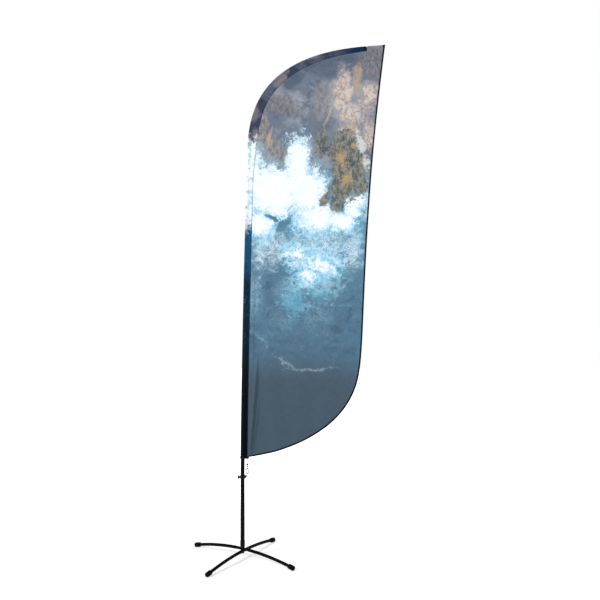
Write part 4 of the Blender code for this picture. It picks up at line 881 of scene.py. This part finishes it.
def lay_print(item, shapes, x, z):
    """Store each group of patches on the cloth: 1 mid-patch, 0 on its rim, negative outside."""
    for size, push in ((0.170, 0.030), (0.055, 0.020), (0.020, 0.009)):
        x, z = x + push * wrinkle(x, z, size, 21.0), z + push * wrinkle(x, z, size, 35.0)
    for name, ovals in shapes.items():
        field = np.full(len(x), -3.0)
        for *sizes, turn in (oval if len(oval) == 5 else (*oval, 0) for oval in ovals):
            centre_x, centre_z, half_x, half_z = (size / 1000 for size in sizes)
            angle = radians(turn)
            across = (x - centre_x) * cos(angle) - (z - centre_z) * sin(angle)
            upward = (x - centre_x) * sin(angle) + (z - centre_z) * cos(angle)
            field = np.maximum(field, 1 - np.hypot(across / half_x, upward / half_z))
        mark(item, name, field)


def fold_line(x, z, top, foot, width, depth):
    """A crease from top to foot: the cloth swells towards it and falls back sharply beyond."""
    run_x, run_z = foot[0] - top[0], foot[1] - top[1]
    length = hypot(run_x, run_z)
    along = ((x - top[0]) * run_x + (z - top[1]) * run_z) / length ** 2
    beyond = ((z - top[1]) * run_x - (x - top[0]) * run_z) / length
    fade = smooth_step(along / 0.35 + 0.1) * smooth_step((1.08 - along) / 0.12)
    swell = np.where(beyond < 0, np.exp(beyond / (3.5 * width)), np.exp(-((beyond / width) ** 2)))
    return -depth * fade * swell


def teardrop(s, radius, reach, nose, loose=0.0):
    """Rings round the line: round at the luff, straight sides to the seam, slack by loose."""
    points, normals = line_at(s)
    rings = []
    for place, normal, r, far in zip(points, normals, radius, reach):
        tangent = acos((r - nose) / far)
        turns = [tangent + 2 * (pi - tangent) * k / ROUND_STEPS for k in range(ROUND_STEPS + 1)]
        ring = [(r * cos(angle), r * sin(angle)) for angle in turns]
        side_x, side_y = r * cos(tangent), r * sin(tangent)
        for side, steps in ((-1, range(1, FLANK_STEPS + 1)), (1, range(FLANK_STEPS, 0, -1))):
            for share in (k / FLANK_STEPS for k in steps):
                half = side_y - (side_y - nose) * share - loose * sin(pi * share)
                ring.append((side_x + (far - side_x) * share, side * half))
        rings.append([(place[0] + normal[0] * a, y, place[1] + normal[1] * a) for a, y in ring])
    return np.array(rings)


def in_row(points):
    """Flag coordinates as row-frame points."""
    return np.asarray(points, float) + np.array([MAST_X, 0.0, 0.0])


def solidify(item, thickness, offset=0.0):
    """Give a sheet its thickness and apply it."""
    step = item.modifiers.new("thickness", "SOLIDIFY")
    step.thickness = thickness
    step.offset = offset
    graph = bpy.context.evaluated_depsgraph_get()
    mesh = bpy.data.meshes.new_from_object(item.evaluated_get(graph))
    item.modifiers.clear()
    item.data = mesh


def make_sleeve():
    """The sewn tube and its closed end."""
    stops = np.linspace(S_SLEEVE - 0.0040, S_SLEEVE_END, 420)
    radius = sleeve_radius(stops)
    reach = sleeve_width(stops) - radius
    bend = smooth_step((stops - S_KNEE + 0.1) / 0.3)
    rings = teardrop(stops, radius, reach, NOSE, loose=2 * NOSE)
    flat_x, flat_z = rings[:, :, 0].ravel(), rings[:, :, 2].ravel()
    ruck = wrinkle(flat_x, flat_z, 0.022, 11.0).reshape(rings.shape[:2])
    rings[:, :, 1] += np.sign(rings[:, :, 1]) * (0.0004 + 0.0006 * bend[:, None]) * ruck
    points, faces = skin(rings, ends=False)
    sleeve = build("pole_sleeve_cloth", in_row(points), faces, "sleeve", None, 70.0)
    centres, normals = line_at(stops)
    across = ((rings[:, :, [0, 2]] - centres[:, None, :]) * normals[:, None, :]).sum(2)
    mark(sleeve, "seam", (across + radius[:, None]) / (reach + radius)[:, None])
    lay_print(sleeve, SLEEVE_PRINT, flat_x, flat_z)
    solidify(sleeve, 0.0004, -1.0)
    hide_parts("pole_sleeve")
    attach(sleeve, "mast")
    pocket_s = S_SLEEVE_END + GAP + POCKET_LENGTH * np.array([0.0, 0.35, 0.7, 0.92, 1.0])
    shrink = np.array([1.0, 0.95, 0.8, 0.5, 0.15])
    pocket = teardrop(pocket_s, SLEEVE_END_R * shrink, np.full(5, SLEEVE_END_WIDTH - SLEEVE_END_R), 0.0005)
    points, faces = skin(pocket)
    tip = build("tip_pocket_cloth", in_row(points), faces, "tape", "mast", 70.0)
    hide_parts("tip_pocket")


def make_cuff():
    """The cuff: cloth turned under and rolled, stiff enough to stand off the pole."""
    heights = np.array([0.0, 0.0006, 0.0016, 0.0040, 0.0075, 0.0105, 0.0125, 0.0131])
    bulge = np.array([-0.0006, 0.0001, 0.0005, 0.0004, 0.0001, 0.0003, 0.0001, -0.0006])
    stops = np.array([at_height(CUFF_FOOT_Z + h) for h in heights])
    even = np.ones(len(stops))
    reach = CUFF_WIDTH - CUFF_R
    outer = teardrop(stops, CUFF_R + bulge, reach + bulge, 0.0016)
    inner = teardrop(stops, (BOTTOM_R + 0.0006) * even, (reach - 0.005) * even, 0.0008)
    points, faces = skin(np.concatenate([outer, inner[::-1]]), close=True)
    cuff = build("sleeve_cuff_cloth", in_row(points), faces, "tape", "mast", 60.0)
    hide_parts("sleeve_cuff")


def seam_line():
    """Flat places along the seam, from the cuff to the closed end."""
    stops = np.linspace(S_SLEEVE, S_SLEEVE_END + POCKET_LENGTH, 500)
    points, normals = line_at(stops)
    return points + normals * (sleeve_width(stops) - sleeve_radius(stops))[:, None]


def top_line():
    """Flat places along the bare top edge, from the closed end to the corner."""
    stops = np.linspace(S_SLEEVE_END + POCKET_LENGTH, RUN[-1], 40)[1:]
    points, normals = line_at(stops)
    return points + normals * -SLEEVE_END_R


def resample(points, count):
    """The same line with evenly spaced points."""
    run = run_along(points)
    places = np.linspace(0.0, run[-1], count)
    return np.stack([np.interp(places, run, points[:, k]) for k in (0, 1)], 1)


def offset(points, distance):
    """A line moved to the left of its direction of travel."""
    return points - rightward(points) * distance


SEAM = seam_line()
FLY, FOOT = on_flag(FLY_SHAPE), on_flag(FOOT_SHAPE)
FREE_EDGE = np.vstack([bezier(*FLY, 300), bezier(*FOOT, 300), [FOOT[-1]]])
HEM_START_X = CUFF_WIDTH - CUFF_R - 0.0012      # just inside the cuff's end
TAB_OUTLINE = ((0.0, 0.0), (0.0, -0.018), (-0.009, -0.020), (-0.016, -0.010), (-0.015, 0.0))
TAB_MIDDLE = (-0.008, -0.009)


def make_panel():
    """The printed panel: one sheet from the seam to the hem, with its billow and folds."""
    rows, columns = 320, 130
    edge = offset(FREE_EDGE, -HEM_WIDTH * 0.5)[::-1]
    edge = edge[edge[:, 0] > SEAM[0, 0] + 0.002]
    edge[:, 1] = np.where(edge[:, 0] < HEM_START_X + 0.003, SLEEVE_FOOT_Z - 0.0030, edge[:, 1])
    edge = resample(np.vstack([[SEAM[0] + (0.001, 0.0)], edge]), rows)
    luff = resample(np.vstack([SEAM - (0.004, 0.0), top_line()]), rows)
    share = (np.linspace(0.0, 1.0, columns) ** 1.7)[None, :, None]
    grid = luff[:, None, :] * (1 - share) + edge[:, None, :] * share
    flat = grid.reshape(-1, 2)
    out = belly(flat[:, 0], flat[:, 1])
    points = np.stack([flat[:, 0], out, flat[:, 1]], 1).reshape(rows, columns, 3)
    points, faces = skin(points, wrap=False, ends=False)
    panel = build("flag_panel_cloth", in_row(points), faces, "print", None, 80.0)
    lay_print(panel, PRINT, flat[:, 0], flat[:, 1])
    area = sum(p.area for p in panel.data.polygons)
    solidify(panel, 2 * CLOTH_HALF)
    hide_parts("flag_panel")
    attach(panel, "mast")
    return panel, area


def make_hem():
    """The folded tape round the free edge, following the panel's folds."""
    line = offset(FREE_EDGE, -HEM_WIDTH / 2)
    line = resample(line[line[:, 0] > HEM_START_X], 700)
    section = [(0.5, 0.0), (0.47, 0.75), (0.30, 1.0), (-0.30, 0.9), (-0.46, 0.6), (-0.5, 0.0)]
    section += [(across, -up) for across, up in section[-2:0:-1]]
    rings = []
    for across, up in section:
        x, z = offset(line, across * HEM_WIDTH).T
        rings.append(np.stack([x, belly(x, z) + up * HEM_HALF, z], 1))
    points, faces = skin(np.stack(rings, 1))
    hem = build("edge_hem_tape", in_row(points), faces, "tape", "mast", 60.0)
    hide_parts("edge_hem")
    return hem


def make_corner_tab():
    """The patch folded over the hem's end at the top corner."""
    corner_x, corner_z = FREE_EDGE[0]
    rings = []
    for up, inset in ((-1.0, 0.1), (-0.6, 0.0), (0.6, 0.0), (1.0, 0.1)):
        ring = []
        for dx, dz in TAB_OUTLINE:
            x = corner_x + dx + (TAB_MIDDLE[0] - dx) * inset - 0.0006 + dz / 12
            z = corner_z + dz + (TAB_MIDDLE[1] - dz) * inset - 0.0008
            ring.append((x, up * 0.0016, z))
        rings.append(ring)
    points, faces = skin(rings)
    return build("corner_tab", in_row(points), faces, "tape", "mast", 50.0)


def stitch_row(line, out):
    """Points and faces of a row of thread stitches along flat places that stand out by out."""
    run = run_along(line)
    points, faces = [], []
    for start in np.arange(STITCH_PITCH, run[-1] - STITCH_PITCH, STITCH_PITCH):
        ends = (start, start + STITCH_LENGTH)
        (x0, x1), (z0, z1), (y0, y1) = (np.interp(ends, run, values) for values in (*line.T, out))
        run_x, run_z = (x1 - x0) / STITCH_LENGTH, (z1 - z0) / STITCH_LENGTH
        sunk = THREAD_R if y0 + y1 >= 0 else -THREAD_R
        base = len(points)
        points.append((x0, y0 - sunk, z0))
        for k in range(4):
            a, b = THREAD_R * cos(k * pi / 2), THREAD_R * sin(k * pi / 2)
            points.append(((x0 + x1) / 2 - run_z * a, (y0 + y1) / 2 + b, (z0 + z1) / 2 + run_x * a))
            here, after = base + 1 + k, base + 1 + (k + 1) % 4
            faces += [(base, here, after), (base + 5, after, here)]
        points.append((x1, y1 - sunk, z1))
    return points, faces


def make_stitches():
    """Thread along the seam and the hem, two rows each, on both faces."""
    stops = np.linspace(S_SLEEVE + 0.004, S_SLEEVE_END, 500)
    places, normals = line_at(stops)
    reach = sleeve_width(stops) - sleeve_radius(stops)
    rows = []
    for back, lift in ((0.0016, 0.0012), (0.0050, 0.0022)):
        rows.append((places + normals * (reach - back)[:, None], 0.0, lift))
    for share in (0.18, 0.80):
        line = offset(FREE_EDGE, -HEM_WIDTH * share)
        line = resample(line[line[:, 0] > HEM_START_X + 0.003], 700)
        rows.append((line, belly(*line.T), HEM_HALF + 0.00005))
    points, faces = [], []
    for side in (-1.0, 1.0):
        for line, surface, lift in rows:
            new_points, new_faces = stitch_row(line, surface + side * lift * np.ones(len(line)))
            faces += [tuple(len(points) + k for k in face) for face in new_faces]
            points += new_points
    return build("flag_stitching", in_row(points), faces, "thread", "mast", 180.0)


def make_cord():
    """The doubled elastic cord, sewn into the cuff and looped through the hook's eye."""
    turn_z = CORD_FOOT_Z + CORD_SPREAD + CORD_R
    left = [(CORD_X - CORD_SPREAD, z) for z in np.linspace(CORD_TOP_Z + CORD_IN_CUFF, turn_z, 40)]
    turns = np.linspace(pi, 2 * pi, 26)[1:-1]
    arc = [(CORD_X + CORD_SPREAD * cos(a), turn_z + CORD_SPREAD * sin(a)) for a in turns]
    right = [(CORD_X + CORD_SPREAD, z) for _, z in left[::-1]]
    path = np.array(left + arc + right)
    sides = 20
    points, faces = skin(sweep(path, CORD_R, sides))
    cord = build("elastic_cord_braid", in_row(points), faces, "braid", None, 60.0)
    run = run_along(path)
    mark(cord, "along", np.repeat(run, sides))
    mark(cord, "around", np.tile(np.arange(sides) / sides, len(path)))
    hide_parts("elastic_cord")
    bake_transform(cord)


# ---------------------------------------------------------------- base, pole and collar
def arm_fall(centre_z):
    drop = centre_z - CAP_R + CAP_PAD_DEPTH
    return drop / (TUBE_END ** 2 + 2 * CAP_END_WALL * TUBE_END)


def arm_rings(centre_z, sides=40):
    """Fine rings of an arched arm, pressed flat at the crossing."""
    fall = arm_fall(centre_z)
    places = np.concatenate([-np.linspace(TUBE_END, 0.0, 90)[:-1], np.linspace(0.0, TUBE_END, 90)])
    rings = []
    for along in places:
        slope = atan(2 * fall * along)
        height = centre_z - fall * along ** 2
        roundness = smooth_step((abs(along) - ARM_FLAT_FROM) / (ARM_ROUND_FROM - ARM_FLAT_FROM))
        half_width = ARM_FLAT_HALF_WIDTH + (ARM_TUBE_R - ARM_FLAT_HALF_WIDTH) * roundness
        half_height = ARM_FLAT_HALF_HEIGHT + (ARM_TUBE_R - ARM_FLAT_HALF_HEIGHT) * roundness
        power = 0.5 + 0.5 * roundness
        turns = 2 * pi * (np.arange(sides) + 0.5) / sides
        side = half_width * np.abs(np.cos(turns)) ** power * np.sign(np.cos(turns))
        rise = half_height * np.abs(np.sin(turns)) ** power * np.sign(np.sin(turns))
        rings.append(np.stack([along + rise * sin(slope), side, height + rise * cos(slope)], 1))
    return rings


def make_arms():
    """Two arms and their four ribbed end caps."""
    arms = (
        ("lower_arm", ARM_LOWER_Z, ARM_UPPER_YAW + ARM_SPREAD, "base", "back_right", "front_left"),
        ("upper_arm", ARM_UPPER_Z, ARM_UPPER_YAW, "folding_arm", "front_right", "back_left"),
    )
    for node, centre_z, yaw, body, ahead, behind in arms:
        points, faces = skin(arm_rings(centre_z))
        arm = build(node + "_tube", moved(points, at_mast(yaw)), faces, "powder", body)
        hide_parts(node)
        for corner, side in ((ahead, 1), (behind, -1)):
            make_cap("foot_cap_" + corner, centre_z, yaw, side, body)


def make_cap(node, centre_z, yaw, side, body):
    """A rubber cap with three grip grooves, cut flat where it stands."""
    fall = arm_fall(centre_z)
    slope = atan(fall * (2 * TUBE_END - TUBE_END_STRAIGHT))
    mouth = CAP_BORE_DEPTH - GAP
    mouth_x = side * (TUBE_END - mouth * cos(slope))
    mouth_z = centre_z - fall * TUBE_END ** 2 + mouth * sin(slope)
    turn = Matrix.Rotation(side * (pi / 2 + slope), 4, "Y")
    place = at_mast(yaw) @ Matrix.Translation((mouth_x, 0.0, mouth_z)) @ turn
    bore = ARM_TUBE_R + GAP
    profile = [(bore, CAP_BORE_DEPTH - 0.001), (bore, 0.0)]
    profile += [(CAP_R - 0.0008, 0.0), (CAP_R, 0.0014), (CAP_R, 0.0050)]
    for low in CAP_GROOVES:
        profile += [(CAP_R - depth, low + up) for depth, up in CAP_GROOVE]
    profile += [(CAP_R - inset, CAP_LENGTH - back) for inset, back in CAP_TIP]
    profile = [(AXIS_R, CAP_BORE_DEPTH - 0.001)] + fillet(profile + [(AXIS_R, CAP_LENGTH)], 0.0006, 3)
    cap = lathe(node + "_rubber", profile, "rubber", None, place, 56)
    work = bmesh.new()
    work.from_mesh(cap.data)
    cut = bmesh.ops.bisect_plane(
        work, geom=work.verts[:] + work.edges[:] + work.faces[:], plane_co=(0.0, 0.0, 0.0),
        plane_no=(0.0, 0.0, -1.0), clear_outer=True,
    )
    rim = [part for part in cut["geom_cut"] if isinstance(part, bmesh.types.BMEdge)]
    bmesh.ops.holes_fill(work, edges=rim)
    bmesh.ops.recalc_face_normals(work, faces=work.faces)
    work.to_mesh(cap.data)
    work.free()
    cap.data.shade_smooth()
    cap.data.set_sharp_from_angle(angle=radians(45.0))
    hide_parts(node)
    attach(cap, body)


def make_mast():
    """The lowest pole section and the moulded ring round its foot."""
    stops = np.concatenate([[0.0], np.linspace(0.02, at_height(BOTTOM_TOP_Z), 40)])
    places, _ = line_at(stops)
    outer, inner = (sweep(places, radius, 56) for radius in (BOTTOM_R, BOTTOM_R - BOTTOM_WALL))
    points, faces = skin(np.concatenate([outer, inner[::-1]]), close=True)
    pole = build("pole_bottom_tube", in_row(points), faces, "anodised", "mast")
    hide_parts("pole_bottom")
    low = MAST_FOOT_Z + GAP
    bore = BOTTOM_R + GAP
    middle = (bore, low + FOOT_RING_HEIGHT / 2)
    ring = [(FOOT_RING_R - inset, low + up) for inset, up in FOOT_RING_GROOVE]
    ring = [middle, (bore, low)] + ring + [(bore, low + FOOT_RING_HEIGHT), middle]
    profile = fillet(ring, 0.0006, 3)[:-1]
    foot = lathe("pole_foot_ring_moulding", profile, "plastic", "mast", at_mast(), 64, ring=True)
    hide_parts("pole_foot_ring")


def make_knob():
    """A lobed hand knob with a recessed face."""
    turn = Matrix.Rotation(-pi / 2, 4, "Y")
    place = Matrix.Translation((MAST_X - KNOB_BOSS_REACH - GAP, 0.0, KNOB_Z)) @ turn

    def lobed(angle, radius):
        wave = 0.5 + 0.5 * cos(KNOB_LOBES * angle)
        return radius * (1.0 - 0.16 * wave ** 2 * min(radius / KNOB_R, 1.0) ** 3)

    outline = [
        (KNOB_BORE_R, KNOB_BORE_DEPTH), (KNOB_BORE_R, 0.0), (0.0060, 0.0), (0.0062, 0.0016),
        (KNOB_R - 0.0006, 0.0020), (KNOB_R, 0.0032),
    ]
    outline += [(KNOB_R - inset, KNOB_T - back) for inset, back in KNOB_FACE]
    profile = [(AXIS_R, KNOB_BORE_DEPTH)] + fillet(outline + [(AXIS_R, KNOB_T - 0.0012)], 0.0008, 4)
    knob = lathe("knob_moulding", profile, "knob_plastic", "thumb_screw", place, 112, wobble=lobed)
    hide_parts("knob")


def make_ring():
    """The steel ring between the lug and the hook."""
    low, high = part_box("lug_ring")
    half_x, half_y, half_z = (high - low) / 2
    rings = []
    for a in 2 * pi * np.arange(72) / 72:
        centre = Vector((0.0, cos(a), sin(a)))
        rings.append([
            centre * (half_y - RING_WIRE_R + RING_WIRE_R * cos(b)) + Vector((RING_WIRE_R * sin(b), 0.0, 0.0))
            for b in 2 * pi * np.arange(20) / 20
        ])
    points, faces = skin(rings, close=True)
    tilt = Matrix.Rotation(atan2(half_x - RING_WIRE_R, half_z - RING_WIRE_R), 4, "Y")
    place = Matrix.Translation((low + high) / 2) @ tilt
    ring = build("lug_ring_wire", moved(points, place), faces, "gunmetal", "collar")
    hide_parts("lug_ring")


# CAD nodes that stay in view: their look, the width of their softened edges and their names.
CARRIED = (
    ("black_steel", 0.0002, "clamp_washer retaining_clip"), ("black_steel", 0.0003, "spindle"),
    ("black_steel", 0.0004, "lock_nut rotor_tube"), ("nylon", 0.0002, "bush_lower bush_upper"),
    ("plastic", 0.0002, "arm_spacer thrust_washer"), ("plastic", 0.0, "tip_cap"),
    ("anodised", 0.0, "pole_middle"), ("fibreglass", 0.0, "pole_upper pole_tip"),
    ("zinc", 0.0, "ferrule_lower ferrule_middle ferrule_upper"), ("zinc", 0.0002, "knob_shank gate_pin"),
    ("gunmetal", 0.0003, "hook_gate cord_crimp"),
)


def dress_frame():
    """Materials and softened edges for the CAD nodes that stay in view."""
    for look, edge, names in CARRIED:
        for name in names.split():
            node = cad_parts[name]
            set_look(node, look)
            if edge:
                bevel = node.modifiers.new("edges", "BEVEL")
                bevel.width = edge
                bevel.segments = 2
                bevel.limit_method = "ANGLE"
                bevel.angle_limit = radians(40.0)
    for name, look, voxel in (("snap_hook", "gunmetal", 0.00030), ("tension_collar", "plastic", 0.00040)):
        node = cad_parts[name]
        set_look(node, look)
        remesh = node.modifiers.new("cast", "REMESH")
        remesh.mode = "VOXEL"
        remesh.voxel_size = voxel
        remesh.use_smooth_shade = True
        smooth = node.modifiers.new("soft", "SMOOTH")
        smooth.iterations = 4
        smooth.factor = 0.5


def set_look(node, look):
    node.data.materials.clear()
    node.data.materials.append(LOOKS[look])


# ---------------------------------------------------------------- set, lights and camera
WHITE = (1.0, 1.0, 1.0, 1.0)
FLOOR_REACH = 14.0
SKY_STRENGTH = 0.29               # of the light on the object; the camera sees plain white


def make_set():
    """A pale floor that brightens outwards, under an even white surround."""
    mesh = bpy.data.meshes.new("floor")
    corners = ((-1, -1), (1, -1), (1, 1), (-1, 1))
    mesh.from_pydata([(FLOOR_REACH * a, FLOOR_REACH * b, 0.0) for a, b in corners], [], [(0, 1, 2, 3)])
    floor = bpy.data.objects.new("floor", mesh)
    bpy.context.scene.collection.objects.link(floor)
    paint = Paint("floor_look", roughness=0.9, specular=0.0, Emission_Color=WHITE)
    paint.colour((236, 236, 236))
    x, y, _ = paint.axes()
    paint.feed(paint.shader.inputs["Emission Strength"], (x * x + y * y).rise(0.4, 3.2, 0.56, 1.2))
    mesh.materials.append(paint.material)
    world = bpy.data.worlds.new("surround")
    bpy.context.scene.world = world
    world.use_nodes = True
    tree = world.node_tree
    sky = tree.nodes["Background"]
    seen = tree.nodes.new("ShaderNodeBackground")
    ray = tree.nodes.new("ShaderNodeLightPath")
    blend = tree.nodes.new("ShaderNodeMixShader")
    for background, strength in ((sky, SKY_STRENGTH), (seen, 1.0)):
        background.inputs["Color"].default_value = WHITE
        background.inputs["Strength"].default_value = strength
    for place, source in enumerate((ray.outputs["Is Camera Ray"], sky.outputs[0], seen.outputs[0])):
        tree.links.new(source, blend.inputs[place])
    tree.links.new(blend.outputs[0], tree.nodes["World Output"].inputs["Surface"])


def make_light(name, place, target, size, energy):
    """One soft area lamp aimed at a point."""
    data = bpy.data.lights.new(name, "AREA")
    data.shape = "DISK"
    data.size = size
    data.energy = energy
    lamp = bpy.data.objects.new(name, data)
    lamp.location = place
    lamp.rotation_euler = (Vector(target) - Vector(place)).to_track_quat("-Z", "Y").to_euler()
    bpy.context.scene.collection.objects.link(lamp)


def make_camera():
    """A camera at the height of the flag's middle, looking straight along +Y."""
    data = bpy.data.cameras.new("camera")
    data.sensor_width = 36.0
    data.lens = 50.0
    camera = bpy.data.objects.new("camera", data)
    camera.location = (MAST_X + 0.3466, -5.03, 1.559)
    camera.rotation_euler = (pi / 2, 0.0, 0.0)
    bpy.context.scene.collection.objects.link(camera)
    bpy.context.scene.camera = camera


make_camera()
make_set()
make_light("key", (-4.0, -3.2, 3.8), (0.0, 0.0, 1.4), 1.1, 160.0)
make_light("fill", (3.2, -3.0, 2.2), (0.0, 0.0, 1.6), 2.4, 22.0)
make_light("rim", (0.5, 3.6, 4.0), (0.0, 0.0, 1.6), 2.0, 30.0)
bpy.context.scene.view_settings.view_transform = "Standard"

dress_frame()
make_arms()
make_mast()
make_knob()
make_ring()
make_cord()
make_sleeve()
make_cuff()
panel, panel_area = make_panel()
seam_pieces = [make_hem(), make_corner_tab(), make_stitches()]
